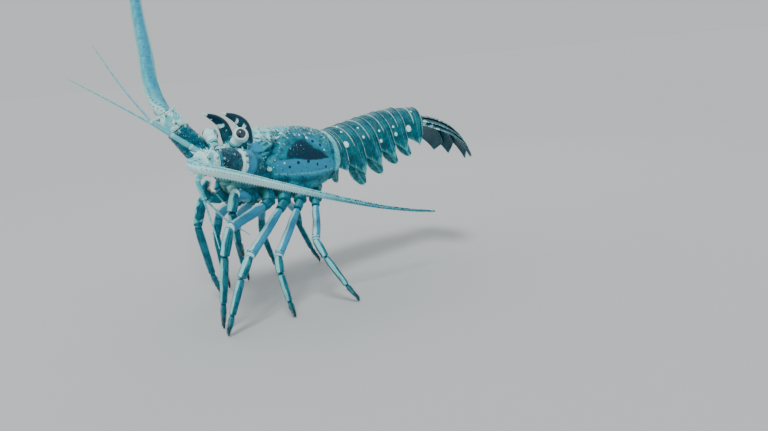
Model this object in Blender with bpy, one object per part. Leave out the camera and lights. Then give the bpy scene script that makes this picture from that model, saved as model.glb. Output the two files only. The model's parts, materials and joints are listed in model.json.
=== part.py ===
"""A Caribbean spiny lobster at life size, standing still on the floor.

Metres, +Z up. The head points to -X, the animal's left side to -Y. The origin is on
the floor, under the middle of the whole animal's box.

The body is laid out in its own body frame, whose origin is the middle of the
carapace's rear end and whose +X runs back along the carapace. The body frame is
pitched head-up and lifted off the floor. The legs reach from the body down to feet
that are given on the floor.
"""

import math

import bmesh
import bpy
import numpy as np
from mathutils import Matrix, Vector

COLLECTION_NAME = "spiny_lobster"
CUTTER_COLLECTION_NAME = "cutters"
GAP = 0.0003
SIDES = {"left": -1.0, "right": 1.0}
ROUND = 8

# Where the animal stands
BODY_PITCH = math.radians(8.0)
BODY_HEIGHT = 0.107
BOX_CENTRE = (-0.02151, 0.112405)

# Carapace, in the body frame
CARAPACE_BOTTOM = -0.020
CARAPACE_EDGE = ((0.0, -0.0180), (0.3, -0.0215), (0.7, -0.0228), (1.0, -0.0165))
CARAPACE_WIDEST = -0.004
CARAPACE_LOWER_EDGE = 0.80
CARAPACE_FRONT_TOP = -0.081
CARAPACE_FRONT_SIDE = -0.088
CARAPACE_FRONT_LOW = -0.077
CARAPACE_FRONT_HOLLOW = -0.072
CARAPACE_REAR_CORNER = -0.0065
CARAPACE_HALF_WIDTH = ((0.0, 0.0215), (0.3, 0.0262), (0.65, 0.0290), (1.0, 0.0262))
CARAPACE_TOP = ((0.0, 0.0165), (0.25, 0.0212), (0.55, 0.0238), (0.8, 0.0240), (1.0, 0.0212))
CERVICAL_LINE = ((0.0, 0.46), (0.17, 0.42), (0.49, 0.30), (0.68, 0.28), (0.86, 0.24), (1.0, 0.15))
CERVICAL_GROOVE = (0.045, 0.0021)
REAR_GROOVE = (0.955, 0.018, 0.0009)
CARAPACE_ROWS = 22
CARAPACE_ARCH_POINTS = 25

# Rows of carapace spines: place round the arch, first and last place along the
# carapace, how many, and the length of the first and last spine
SPINE_ROWS = (
    (0.045, 0.10, 0.64, 6, 0.0066, 0.0034),
    (0.110, 0.22, 0.88, 8, 0.0070, 0.0030),
    (0.185, 0.17, 0.84, 7, 0.0076, 0.0028),
    (0.240, 0.22, 0.66, 5, 0.0056, 0.0028),
    (0.305, 0.32, 0.62, 3, 0.0048, 0.0030),
)
SPINE_RADIUS_PER_LENGTH = 0.25
SPINE_SINK = 0.0012

# Underside
STERNUM_TOP = -0.0203
STERNUM_BOTTOM = -0.0315
STERNUM_FRONT = (-0.0790, 0.0085, 0.0060)
STERNUM_REAR = (-0.0075, 0.0165, 0.0120)

# Head plate and mouth region: centre and radii
HEAD_BALLS = (
    ((-0.0845, 0.0, -0.0060), (0.0165, 0.0120, 0.0135)),
    ((-0.0770, 0.0, -0.0180), (0.0140, 0.0125, 0.0110)),
    ((-0.0920, 0.0, 0.0030), (0.0090, 0.0130, 0.0078)),
)

# Abdomen: length, half width, height over the axis and drop of the side lobe
TAIL_SEGMENTS = (
    (0.0115, 0.0238, 0.0202, 0.0125),
    (0.0195, 0.0245, 0.0208, 0.0205),
    (0.0180, 0.0240, 0.0204, 0.0205),
    (0.0168, 0.0230, 0.0196, 0.0200),
    (0.0155, 0.0216, 0.0186, 0.0190),
    (0.0178, 0.0202, 0.0172, 0.0150),
)
TAIL_END = (0.0178, 0.0140)
TAIL_YAW = (2.0, 6.0, 10.0, 15.0, 19.0, 23.0)
TAIL_PITCH = (3.0, 9.0, 12.0, 12.0, 9.0, 2.0)
BELLY = -0.0065
LOBE_THICKNESS = 0.0020

# Tail fan: heading from the middle, length, half width and depth of the layer
FAN_START_PITCH = 10.0
FAN_END_PITCH = 88.0
FAN_ROOT_HEIGHT = 0.0065
FAN_CURL_LENGTH = 0.060
FAN_BLADES = {
    "telson": (0.0, 0.0, 0.060, 0.0140, 0.0),
    "uropod_left_inner": (-13.0, -0.0085, 0.057, 0.0130, 0.0024),
    "uropod_right_inner": (13.0, 0.0085, 0.057, 0.0130, 0.0024),
    "uropod_left_outer": (-26.0, -0.0120, 0.056, 0.0140, 0.0048),
    "uropod_right_outer": (26.0, 0.0120, 0.056, 0.0140, 0.0048),
}
FAN_SIDE_DROOP = 0.22
FAN_THICKNESS = 0.0009

# Eyes and horns, left side in the body frame
EYE_ROOT = (-0.0922, -0.0080, 0.0055)
EYE_CENTRE = (-0.0892, -0.0190, 0.0168)
EYE_RADIUS = 0.0056
EYE_STALK_RADII = (0.0040, 0.0040, 0.0046)
CORNEA_OFFSET = (-0.0014, -0.0023, 0.0010)
CORNEA_RADIUS = 0.0040
HORN_STATIONS = (
    (0.00, (-0.0765, -0.0108, 0.0080, 0.0046)),
    (0.20, (-0.0790, -0.0116, 0.0142, 0.0045)),
    (0.42, (-0.0805, -0.0126, 0.0205, 0.0044)),
    (0.62, (-0.0838, -0.0130, 0.0261, 0.0038)),
    (0.80, (-0.0905, -0.0128, 0.0299, 0.0028)),
    (1.00, (-0.1004, -0.0118, 0.0326, 0.0003)),
)
HORN_RINGS = 11

# Antennae in the body frame: joints of the thick base, then the whip
ANTENNA_JOINTS = {
    "left": (
        (-0.0700, -0.0168, -0.0055),
        (-0.0985, -0.0243, -0.0018),
        (-0.1215, -0.0330, -0.0005),
        (-0.1350, -0.0376, -0.0010),
    ),
    "right": (
        (-0.0700, 0.0168, -0.0055),
        (-0.0935, 0.0261, 0.0030),
        (-0.1105, 0.0314, 0.0213),
        (-0.1180, 0.0346, 0.0335),
    ),
}
ANTENNA_BASE_SIZES = (
    (0.0088, 0.0094),
    (0.0084, 0.0094),
    (0.0072, 0.0076),
    (0.0066, 0.0068),
)
ANTENNA_BASE_STEPS = 3

# Spines round the antenna's base: which of its lengths, place along it, first and
# last angle from the inner side over the top, how many and how long
ANTENNA_SPINES = (
    (0, 0.84, 120.0, 175.0, 3, 0.0044),
    (1, 0.42, 50.0, 150.0, 3, 0.0036),
    (1, 0.86, 0.0, 210.0, 6, 0.0046),
    (2, 0.34, 20.0, 300.0, 5, 0.0034),
    (2, 0.80, 0.0, 310.0, 7, 0.0042),
)
WHIP_PATH = {
    "left": (
        (-0.1400, -0.0394, -0.0012),
        (-0.1433, -0.0437, -0.0020),
        (-0.1424, -0.0492, -0.0034),
        (-0.1372, -0.0524, -0.0050),
        (-0.1280, -0.0530, -0.0070),
        (-0.0950, -0.0515, -0.0142),
        (-0.0610, -0.0500, -0.0217),
        (-0.0250, -0.0535, -0.0300),
        (0.0130, -0.0600, -0.0380),
        (0.0430, -0.0635, -0.0425),
        (0.0700, -0.0650, -0.0452),
    ),
    "right": (
        (-0.1205, 0.0362, 0.0378),
        (-0.1205, 0.0455, 0.0500),
        (-0.1120, 0.0700, 0.0785),
        (-0.1020, 0.1000, 0.1160),
        (-0.0880, 0.1330, 0.1560),
        (-0.0690, 0.1690, 0.1970),
        (-0.0440, 0.2090, 0.2370),
        (-0.0120, 0.2520, 0.2740),
        (0.0250, 0.2950, 0.3050),
    ),
}
WHIP_BASE_RADIUS = {"left": 0.0040, "right": 0.0056}
WHIP_TIP_RADIUS = {"left": 0.0008, "right": 0.0009}
WHIP_LENGTHS = {"left": ("root", "tip"), "right": ("root", "middle", "tip")}
WHIP_SPACING = 0.0075
SPINULE_ANGLES = (40.0, 140.0, 270.0)
SPINULE_LENGTH = 0.0013
SPINULE_RADIUS = 0.0007
SPINULE_END = 0.62

# Antennules in the body frame: stalk joints, then the tips of the two whips
ANTENNULE_STALK = {
    "left": (
        (-0.0900, -0.0048, -0.0080),
        (-0.1030, -0.0085, -0.0078),
        (-0.1160, -0.0125, -0.0095),
        (-0.1228, -0.0160, -0.0150),
        (-0.1200, -0.0200, -0.0275),
    ),
    "right": (
        (-0.0900, 0.0048, -0.0030),
        (-0.1020, 0.0090, 0.0035),
        (-0.1120, 0.0115, 0.0095),
        (-0.1260, 0.0135, 0.0180),
        (-0.1410, 0.0150, 0.0270),
    ),
}
ANTENNULE_TIPS = {
    "left": ((-0.1173, -0.0320, -0.0600), (-0.0900, -0.0290, -0.0530)),
    "right": ((-0.1790, 0.0150, 0.0745), (-0.1945, 0.0180, 0.0525)),
}
ANTENNULE_RADIUS = (0.0024, 0.0022, 0.0020, 0.0018, 0.0016)

MAXILLIPED_PATH = (
    (-0.0820, -0.0045, -0.0215),
    (-0.0870, -0.0095, -0.0300),
    (-0.0970, -0.0115, -0.0290),
    (-0.1035, -0.0095, -0.0215),
    (-0.1010, -0.0060, -0.0155),
)
MAXILLIPED_RADII = (0.0036, 0.0036, 0.0032, 0.0024, 0.0012)

# Legs: hip in the body frame, then knee and foot in the standing frame, then the
# thickness of the long upper part, all for one leg of one side
LEGS = {
    ("left", 1): ((-0.0755, -0.0055, -0.0250), (-0.1020, -0.0250, 0.0970), None, 0.0039),
    ("left", 2): ((-0.0625, -0.0065, -0.0258), (-0.1180, -0.0370, 0.0770), (-0.1190, -0.0140), 0.0036),
    ("left", 3): ((-0.0485, -0.0075, -0.0260), (-0.1085, -0.0420, 0.0550), (-0.1260, -0.0300), 0.0034),
    ("left", 4): ((-0.0340, -0.0085, -0.0260), (-0.0820, -0.0390, 0.0480), (-0.0760, -0.0420), 0.0032),
    ("left", 5): ((-0.0195, -0.0095, -0.0260), (-0.0470, -0.0410, 0.0520), (-0.0270, -0.0590), 0.0031),
    ("right", 1): ((-0.0755, 0.0055, -0.0250), (-0.0980, 0.0240, 0.0905), (-0.0770, 0.0480), 0.0039),
    ("right", 2): ((-0.0625, 0.0065, -0.0258), (-0.0700, 0.0480, 0.0700), (-0.0560, 0.0700), 0.0036),
    ("right", 3): ((-0.0485, 0.0075, -0.0260), (-0.0470, 0.0560, 0.0620), (-0.0330, 0.0740), 0.0034),
    ("right", 4): ((-0.0340, 0.0085, -0.0260), (-0.0250, 0.0540, 0.0580), (-0.0020, 0.0700), 0.0032),
    ("right", 5): ((-0.0195, 0.0095, -0.0260), (0.0080, 0.0460, 0.0560), (0.0380, 0.0600), 0.0031),
}
RAISED_FOOT = (-0.0920, -0.0105, 0.0475)
BOW = {1: 0.0085, 2: 0.0050, 3: 0.0045, 4: 0.0040, 5: 0.0040}
HIP_RADIUS = {1: 0.0045, 2: 0.0051, 3: 0.0052, 4: 0.0052, 5: 0.0052}
HIP_HEADING = {
    1: (-0.74, 0.60, -0.30),
    2: (-0.45, 0.62, -0.64),
    3: (-0.45, 0.62, -0.64),
    4: (-0.45, 0.62, -0.64),
    5: (-0.45, 0.62, -0.64),
}
COXA_LENGTH = {1: 0.0060, 2: 0.0080, 3: 0.0080, 4: 0.0080, 5: 0.0080}
ISCHIUM_SHARE = 0.24
CARPUS_SHARE = 0.26
PROPODUS_SHARE = 0.74
FOOT_RADIUS = 0.0009
FOOT_SHANK = 0.0022

COLOURS = {
    "carapace": ((0.10, 0.32, 0.33, 1.0), 0.45),
    "tail": ((0.07, 0.30, 0.29, 1.0), 0.42),
    "legs": ((0.16, 0.38, 0.48, 1.0), 0.40),
    "antennae": ((0.42, 0.66, 0.70, 1.0), 0.55),
    "horns": ((0.06, 0.10, 0.12, 1.0), 0.38),
    "eyes": ((0.01, 0.02, 0.03, 1.0), 0.12),
    "underside": ((0.35, 0.55, 0.50, 1.0), 0.55),
}


def trunk(point):
    """Give the standing-frame place of a point in the body frame."""
    turned = Matrix.Rotation(BODY_PITCH, 3, "Y") @ Vector(point)
    return turned + Vector((0.0, 0.0, BODY_HEIGHT))


def mirrored(point, side):
    """Give a left-side point, or its mirror image on the right side."""
    return Vector((point[0], -SIDES[side] * point[1], point[2]))


def smooth(stations, place):
    """Read a value on a smooth line through a few (place, value) stations."""
    places = [station[0] for station in stations]
    values = np.array([station[1] for station in stations], dtype=float)
    place = min(max(place, places[0]), places[-1])
    slopes = np.gradient(values, places, axis=0)
    index = min(int(np.searchsorted(places, place, side="right")) - 1, len(places) - 2)
    span = places[index + 1] - places[index]
    t = (place - places[index]) / span
    start = values[index] * (2 * t**3 - 3 * t**2 + 1) + slopes[index] * span * (t**3 - 2 * t**2 + t)
    end = values[index + 1] * (3 * t**2 - 2 * t**3) + slopes[index + 1] * span * (t**3 - t**2)
    return start + end


def material(name):
    """Make or find the shell material of one group of pieces."""
    found = bpy.data.materials.get(name)
    if found:
        return found
    made = bpy.data.materials.new(name)
    made.use_nodes = True
    shader = made.node_tree.nodes["Principled BSDF"]
    colour, roughness = COLOURS[name]
    shader.inputs["Base Color"].default_value = colour
    shader.inputs["Roughness"].default_value = roughness
    shader.inputs["Metallic"].default_value = 0.0
    return made


def add_object(name, mesh, collection_name=COLLECTION_NAME):
    """Put a mesh in the scene as an object of the named collection."""
    made = bpy.data.objects.new(name, mesh)
    bpy.data.collections[collection_name].objects.link(made)
    return made


def closed_mesh(name, vertices, faces):
    """Make one triangulated mesh whose faces point out."""
    mesh = bpy.data.meshes.new(name)
    mesh.from_pydata([tuple(vertex) for vertex in vertices], [], faces)
    work = bmesh.new()
    work.from_mesh(mesh)
    bmesh.ops.remove_doubles(work, verts=work.verts, dist=1e-6)
    bmesh.ops.triangulate(work, faces=[face for face in work.faces if len(face.verts) > 4])
    bmesh.ops.triangulate(work, faces=work.faces)
    bmesh.ops.recalc_face_normals(work, faces=work.faces)
    work.to_mesh(mesh)
    work.free()
    return mesh


def loft(name, rings, hollow_front=None, paired_from=None):
    """Skin a row of like rings and close both ends.

    The first end is closed to the point hollow_front where one is given. On a thin
    vane the ring's second half runs back along its under side from the index
    paired_from, where the quads split the other way, so that both faces agree.
    """
    count = len(rings[0])
    vertices = [point for ring in rings for point in ring]
    faces = []
    for row in range(len(rings) - 1):
        for step in range(count):
            near = row * count + step
            beside = row * count + (step + 1) % count
            far = near + count
            opposite = beside + count
            if paired_from is not None and step >= paired_from:
                faces += [(near, beside, far), (beside, opposite, far)]
            else:
                faces += [(near, beside, opposite), (near, opposite, far)]
    last = (len(rings) - 1) * count
    faces.append(tuple(range(last, last + count)))
    if hollow_front is None:
        faces.append(tuple(reversed(range(count))))
    else:
        vertices.append(hollow_front)
        tip = len(vertices) - 1
        faces += [((step + 1) % count, step, tip) for step in range(count)]
    return closed_mesh(name, vertices, faces)


def directions_along(path):
    """Give the heading at each point of a path, halfway between its neighbours'."""
    legs = [(path[i + 1] - path[i]).normalized() for i in range(len(path) - 1)]
    middle = [(legs[i] + legs[i + 1]).normalized() for i in range(len(legs) - 1)]
    return [legs[0]] + middle + [legs[-1]]


def limb_rings(path, widths, heights, up=Vector((0.0, 0.0, 1.0)), count=ROUND, headings=None):
    """Give the rings of an oval limb along a path, with its heights towards up."""
    rings = []
    headings = headings or directions_along(path)
    for point, heading, width, height in zip(path, headings, widths, heights):
        sideways = heading.cross(up).normalized()
        upward = sideways.cross(heading).normalized()
        ring = []
        for step in range(count):
            angle = 2.0 * math.pi * (step + 0.5) / count
            across = sideways * (width * math.cos(angle))
            ring.append(point + across + upward * (height * math.sin(angle)))
        rings.append(ring)
    return rings


def limb_surface(path, headings, widths, heights, place, angle, up=Vector((0.0, 0.0, 1.0))):
    """Give a point on an oval limb's skin and the outward and forward directions."""
    index = min(int(place), len(path) - 2)
    share = place - index
    centre = path[index].lerp(path[index + 1], share)
    heading = headings[index].lerp(headings[index + 1], share).normalized()
    width = widths[index] + (widths[index + 1] - widths[index]) * share
    height = heights[index] + (heights[index + 1] - heights[index]) * share
    sideways = heading.cross(up).normalized()
    upward = sideways.cross(heading).normalized()
    outward = sideways * math.cos(angle) + upward * math.sin(angle)
    skin = centre + sideways * (width * math.cos(angle)) + upward * (height * math.sin(angle))
    return skin, outward, heading


def shifted(ring, offset):
    """Move every point of a ring by one offset."""
    return [point + offset for point in ring]


def cone_mesh(root, direction, length, radius, sides=5):
    """Make a thorn that tapers to a point, its root at the given place."""
    turn = direction.to_track_quat("Z", "Y").to_matrix().to_4x4()
    place = Matrix.Translation(root + direction * (length / 2.0)) @ turn
    work = bmesh.new()
    bmesh.ops.create_cone(
        work, cap_ends=True, cap_tris=False, segments=sides,
        radius1=radius, radius2=0.0, depth=length, matrix=place,
    )
    bmesh.ops.remove_doubles(work, verts=work.verts, dist=1e-6)
    bmesh.ops.triangulate(work, faces=work.faces)
    mesh = bpy.data.meshes.new("thorn")
    work.to_mesh(mesh)
    work.free()
    return mesh


def ball_mesh(name, centre, radii, segments=12, rings=8):
    """Make a closed ball with three radii."""
    work = bmesh.new()
    place = Matrix.Translation(centre) @ Matrix.Diagonal((*radii, 1.0))
    bmesh.ops.create_uvsphere(work, u_segments=segments, v_segments=rings, radius=1.0, matrix=place)
    bmesh.ops.triangulate(work, faces=work.faces)
    mesh = bpy.data.meshes.new(name)
    work.to_mesh(mesh)
    work.free()
    return mesh


def apply_modifier(target, modifier):
    """Make a modifier's result the object's own mesh."""
    with bpy.context.temp_override(object=target, active_object=target):
        bpy.ops.object.modifier_apply(modifier=modifier.name)


def keep_largest(target):
    """Keep only the largest closed surface of an object's mesh."""
    work = bmesh.new()
    work.from_mesh(target.data)
    bmesh.ops.triangulate(work, faces=work.faces)
    left = set(work.faces)
    islands = []
    while left:
        stack = [left.pop()]
        island = list(stack)
        while stack:
            face = stack.pop()
            for edge in face.edges:
                for other in edge.link_faces:
                    if other in left:
                        left.remove(other)
                        stack.append(other)
                        island.append(other)
        islands.append(island)
    islands.sort(key=lambda island: sum(face.calc_area() for face in island))
    loose = [face for island in islands[:-1] for face in island]
    bmesh.ops.delete(work, geom=loose, context="FACES")
    work.to_mesh(target.data)
    work.free()


def is_closed(mesh):
    """Tell whether every edge of a mesh joins exactly two faces."""
    work = bmesh.new()
    work.from_mesh(mesh)
    closed = len(work.faces) > 3 and all(len(edge.link_faces) == 2 for edge in work.edges)
    work.free()
    return closed


def boolean(target, operation, meshes):
    """Join or cut an object with closed meshes, and keep one closed body."""
    before = target.data.copy()
    for solver in ("EXACT", "MANIFOLD"):
        pieces = [add_object("piece", mesh, CUTTER_COLLECTION_NAME) for mesh in meshes]
        modifier = target.modifiers.new("shape", "BOOLEAN")
        modifier.operation = operation
        modifier.operand_type = "COLLECTION"
        modifier.collection = bpy.data.collections[CUTTER_COLLECTION_NAME]
        modifier.solver = solver
        apply_modifier(target, modifier)
        for piece in pieces:
            bpy.data.objects.remove(piece)
        keep_largest(target)
        if is_closed(target.data):
            return
        target.data = before.copy()


def inflated(mesh, distance=GAP):
    """Copy a mesh with its surface moved out by the gap that neighbours keep."""
    work = bmesh.new()
    work.from_mesh(mesh)
    work.normal_update()
    moves = [(vertex, vertex.normal.copy() * distance) for vertex in work.verts]
    for vertex, move in moves:
        vertex.co += move
    grown = bpy.data.meshes.new("clearance")
    work.to_mesh(grown)
    work.free()
    return grown


def cut_clear(target, *clearances):
    """Cut an object back by grown neighbours, so that they meet face to face."""
    for meshes in clearances:
        boolean(target, "DIFFERENCE", meshes)


def add_part(name, mesh, colour):
    """Add one named piece of the animal with its material."""
    made = add_object(name, mesh)
    made.data.materials.clear()
    made.data.materials.append(material(colour))
    return made


def bump(place, centre, width):
    """Give a smooth hump of height 1 at the centre, gone a few widths away."""
    return math.exp(-(((place - centre) / width) ** 2))


def carapace_point(along, around):
    """Give a body-frame point of the carapace's arch.

    along runs from 0 at the front to 1 at the rear, around from 0 at the left lower
    edge over the back at 0.5 to 1 at the right lower edge.
    """
    half_width = smooth(CARAPACE_HALF_WIDTH, along)
    top = smooth(CARAPACE_TOP, along)
    across = (around - 0.5) * 2.0
    side = min(abs(across) / 0.76, 1.0)
    below = max(abs(across) - 0.76, 0.0) / 0.24
    angle = side * math.pi / 2.0
    y = half_width * math.sin(angle)
    z = CARAPACE_WIDEST + (top - CARAPACE_WIDEST) * math.cos(angle) ** 0.92
    if below:
        y = half_width * (1.0 - (1.0 - CARAPACE_LOWER_EDGE) * below**2.0)
        z = CARAPACE_WIDEST + (smooth(CARAPACE_EDGE, along) - CARAPACE_WIDEST) * below
    groove = CERVICAL_GROOVE[1] * bump(along, smooth(CERVICAL_LINE, side), CERVICAL_GROOVE[0])
    groove += REAR_GROOVE[2] * bump(along, REAR_GROOVE[0], REAR_GROOVE[1])
    shrink = 1.0 - groove * (1.0 - below) / 0.022
    front_level = max(0.0, 1.0 - abs(side - 0.86) / 0.36)
    front = CARAPACE_FRONT_TOP + (CARAPACE_FRONT_SIDE - CARAPACE_FRONT_TOP) * front_level**1.2
    front += (CARAPACE_FRONT_LOW - CARAPACE_FRONT_SIDE) * min(below * 1.3, 1.0)
    x = front + (CARAPACE_REAR_CORNER * below**1.5 - front) * along
    return Vector((x, math.copysign(y * shrink, across), z * shrink if z > 0 else z))


def carapace_normal(along, around):
    """Give the outward direction of the carapace at a place on its arch."""
    step = 0.01
    lengthwise = carapace_point(along + step, around) - carapace_point(max(along - step, 0.0), around)
    crosswise = carapace_point(along, around + step) - carapace_point(along, around - step)
    return lengthwise.cross(crosswise).normalized()


def carapace_mesh():
    """Make the bare carapace with a flat underside and a hollowed front."""
    rings = []
    for row in range(CARAPACE_ROWS):
        along = row / (CARAPACE_ROWS - 1)
        steps = CARAPACE_ARCH_POINTS - 1
        arch = [carapace_point(along, step / steps) for step in range(CARAPACE_ARCH_POINTS)]
        right = arch[-1]
        left = arch[0]
        under = [right.lerp(left, share) for share in (0.16, 0.5, 0.84)]
        for point in under:
            point.z = max(CARAPACE_BOTTOM, right.z)
        rings.append([trunk(point) for point in arch + under])
    hollow = trunk((CARAPACE_FRONT_HOLLOW, 0.0, -0.002))
    return loft("carapace", rings, hollow_front=hollow)


def thorn(root, outward, length):
    """Make one spine whose root is sunk in the surface it grows from."""
    radius = length * SPINE_RADIUS_PER_LENGTH
    return cone_mesh(root - outward * SPINE_SINK, outward, length + SPINE_SINK, radius)


def carapace_spines():
    """Make the rows of forward-pointing spines on both sides of the back."""
    forward = Vector((-1.0, 0.0, 0.0))
    turn = Matrix.Rotation(BODY_PITCH, 3, "Y")
    made = []
    for offset, first, last, count, first_length, last_length in SPINE_ROWS:
        for side in SIDES.values():
            for index in range(count):
                share = index / (count - 1)
                along = first + (last - first) * share
                around = 0.5 + side * offset
                length = first_length + (last_length - first_length) * share
                lean = (carapace_normal(along, around) * 0.75 + forward * 0.65).normalized()
                made.append(thorn(trunk(carapace_point(along, around)), turn @ lean, length))
    return made


def head_meshes(grow=0.0):
    """Make the rounded forms of the head, larger by the given margin."""
    made = []
    for centre, radii in HEAD_BALLS:
        made.append(ball_mesh("head", trunk(centre), tuple(radius + grow for radius in radii)))
    return made


def build_head(around_carapace):
    """Make the plate between the antennae with the mouth region under it."""
    plate, mouth, eye_bar = head_meshes()
    head = add_part("head_plate", plate, "underside")
    boolean(head, "UNION", [mouth, eye_bar])
    cut_clear(head, around_carapace)
    return head


def sternum_mesh(grow=0.0):
    """Make the narrow breast plate, larger by the given margin."""
    rings = []
    for (x, top_half, bottom_half), outward in ((STERNUM_FRONT, -grow), (STERNUM_REAR, grow)):
        ring = (
            (x + outward, -bottom_half - grow, STERNUM_BOTTOM - grow),
            (x + outward, bottom_half + grow, STERNUM_BOTTOM - grow),
            (x + outward, top_half + grow, STERNUM_TOP),
            (x + outward, -top_half - grow, STERNUM_TOP),
        )
        rings.append([trunk(point) for point in ring])
    return loft("sternum", rings)


def build_sternum(around_head):
    """Make the narrow plate under the body that the legs grow from."""
    sternum = add_part("sternum", sternum_mesh(), "underside")
    cut_clear(sternum, around_head)
    return sternum


def build_horn(side, *clearances):
    """Make the big curved horn over one eye."""
    stages = [smooth(HORN_STATIONS, step / (HORN_RINGS - 1)) for step in range(HORN_RINGS)]
    path = [trunk(mirrored(stage[:3], side)) for stage in stages]
    radii = [stage[3] for stage in stages]
    rings = limb_rings(path, radii, radii, up=Vector((0.0, 1.0, 0.0)), count=10)
    horn = add_part(f"horn_{side}", loft("horn", rings), "horns")
    cut_clear(horn, *clearances)
    return horn


def build_eye(side, *clearances):
    """Make one eye on its stalk."""
    root = trunk(mirrored(EYE_ROOT, side))
    centre = trunk(mirrored(EYE_CENTRE, side))
    path = [root, root.lerp(centre, 0.5), centre]
    stalk = loft("eye", limb_rings(path, EYE_STALK_RADII, EYE_STALK_RADII))
    eye = add_part(f"eye_{side}", stalk, "eyes")
    cornea = trunk(mirrored(Vector(EYE_CENTRE) + Vector(CORNEA_OFFSET), side))
    balls = ((centre, EYE_RADIUS), (cornea, CORNEA_RADIUS))
    boolean(eye, "UNION", [ball_mesh("globe", place, (radius,) * 3, 14, 10) for place, radius in balls])
    cut_clear(eye, *clearances)
    return eye


def split_at(rings, headings, index, name, parts):
    """Close one length of a ring stack, leaving the gap at its far end's joint."""
    half = GAP / 2.0
    start, end = parts
    length = [list(ring) for ring in rings[start:end + 1]]
    if start > 0:
        length[0] = shifted(length[0], headings[start] * half)
    if end < len(rings) - 1:
        length[-1] = shifted(length[-1], -headings[end] * half)
    return loft(f"{name}_{index}", length)


def antenna_path(side):
    """Give the joints of one antenna's base and the path of its whip."""
    base = [trunk(point) for point in ANTENNA_JOINTS[side]]
    stations = [tuple(base[-1])] + [tuple(trunk(point)) for point in WHIP_PATH[side]]
    gone = [0.0]
    for first, second in zip(stations, stations[1:]):
        gone.append(gone[-1] + math.dist(first, second))
    line = list(zip(gone, stations))
    return base, line


def antenna_spines(side, index, limb):
    """Make the spines that stand round one length of the antenna's base."""
    made = []
    for length_index, along, first, last, count, length in ANTENNA_SPINES:
        if length_index != index:
            continue
        for step in range(count):
            angle = math.radians(first + (last - first) * step / (count - 1))
            angle = angle if side == "left" else math.pi - angle
            place = (index + along) * ANTENNA_BASE_STEPS
            skin, outward, heading = limb_surface(*limb, place, angle)
            made.append(thorn(skin, (outward * 0.75 + heading * 0.65).normalized(), length))
    return made


def whip_spinules(limb, first, last):
    """Make the small thorns in rows along one length of a whip."""
    made = []
    for place in range(first + 1, last):
        for row, degrees in enumerate(SPINULE_ANGLES):
            station = place + row / len(SPINULE_ANGLES) - 0.3
            skin, outward, heading = limb_surface(*limb, station, math.radians(degrees))
            lean = (outward * 0.8 + heading * 0.6).normalized()
            size = SPINULE_LENGTH + SPINE_SINK * 0.5
            made.append(cone_mesh(skin - lean * (SPINE_SINK * 0.5), lean, size, SPINULE_RADIUS, sides=3))
    return made


def build_antenna(side, *clearances):
    """Make one antenna: three stout spiny joints and a long tapering whip."""
    base, line = antenna_path(side)
    stages = []
    sizes = []
    for index in range(len(base) - 1):
        for share in (0.0, 0.3, 0.75):
            swell = 1.0 if share == 0.0 else 1.07
            stages.append(base[index].lerp(base[index + 1], share))
            low = np.array(ANTENNA_BASE_SIZES[index])
            high = np.array(ANTENNA_BASE_SIZES[index + 1])
            sizes.append((low + (high - low) * share) * swell)
    stages.append(base[-1])
    sizes.append(np.array(ANTENNA_BASE_SIZES[-1]))
    headings = directions_along(stages)
    widths = [size[0] for size in sizes]
    heights = [size[1] for size in sizes]
    rings = limb_rings(stages, widths, heights, count=12, headings=headings)
    made = []
    limb = (stages, headings, widths, heights)
    steps = ANTENNA_BASE_STEPS
    for index, name in enumerate(("base", "middle", "end")):
        mesh = split_at(rings, headings, index, "antenna", (index * steps, index * steps + steps))
        length = add_part(f"antenna_{side}_{name}", mesh, "antennae")
        if index == 0:
            cut_clear(length, *clearances)
        boolean(length, "UNION", antenna_spines(side, index, limb))
        made.append(length)
    made += build_whip(side, line, headings[-1])
    return made


def build_whip(side, line, base_heading):
    """Make the long tapering whip in a few lengths."""
    total = line[-1][0]
    count = int(total / WHIP_SPACING)
    places = [total * (i / count) ** 1.25 for i in range(count + 1)]
    path = [Vector(smooth(line, place)) for place in places]
    path[0] = path[0] + base_heading * GAP
    headings = directions_along(path)
    headings[0] = base_heading
    radii = []
    for place in places:
        share = place / total
        thick = WHIP_BASE_RADIUS[side]
        thin = WHIP_TIP_RADIUS[side]
        radii.append(thin + (thick - thin) * (1.0 - share) ** 1.1)
    rings = limb_rings(path, radii, radii, headings=headings)
    names = WHIP_LENGTHS[side]
    marks = [round(count * i / len(names)) for i in range(len(names) + 1)]
    made = []
    for index, name in enumerate(names):
        mesh = split_at(rings, headings, index, "whip", (marks[index], marks[index + 1]))
        length = add_part(f"antenna_{side}_whip_{name}", mesh, "antennae")
        last = min(marks[index + 1], int(count * SPINULE_END))
        if last > marks[index] + 2:
            boolean(length, "UNION", whip_spinules((path, headings, radii, radii), marks[index], last))
        made.append(length)
    return made


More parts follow.
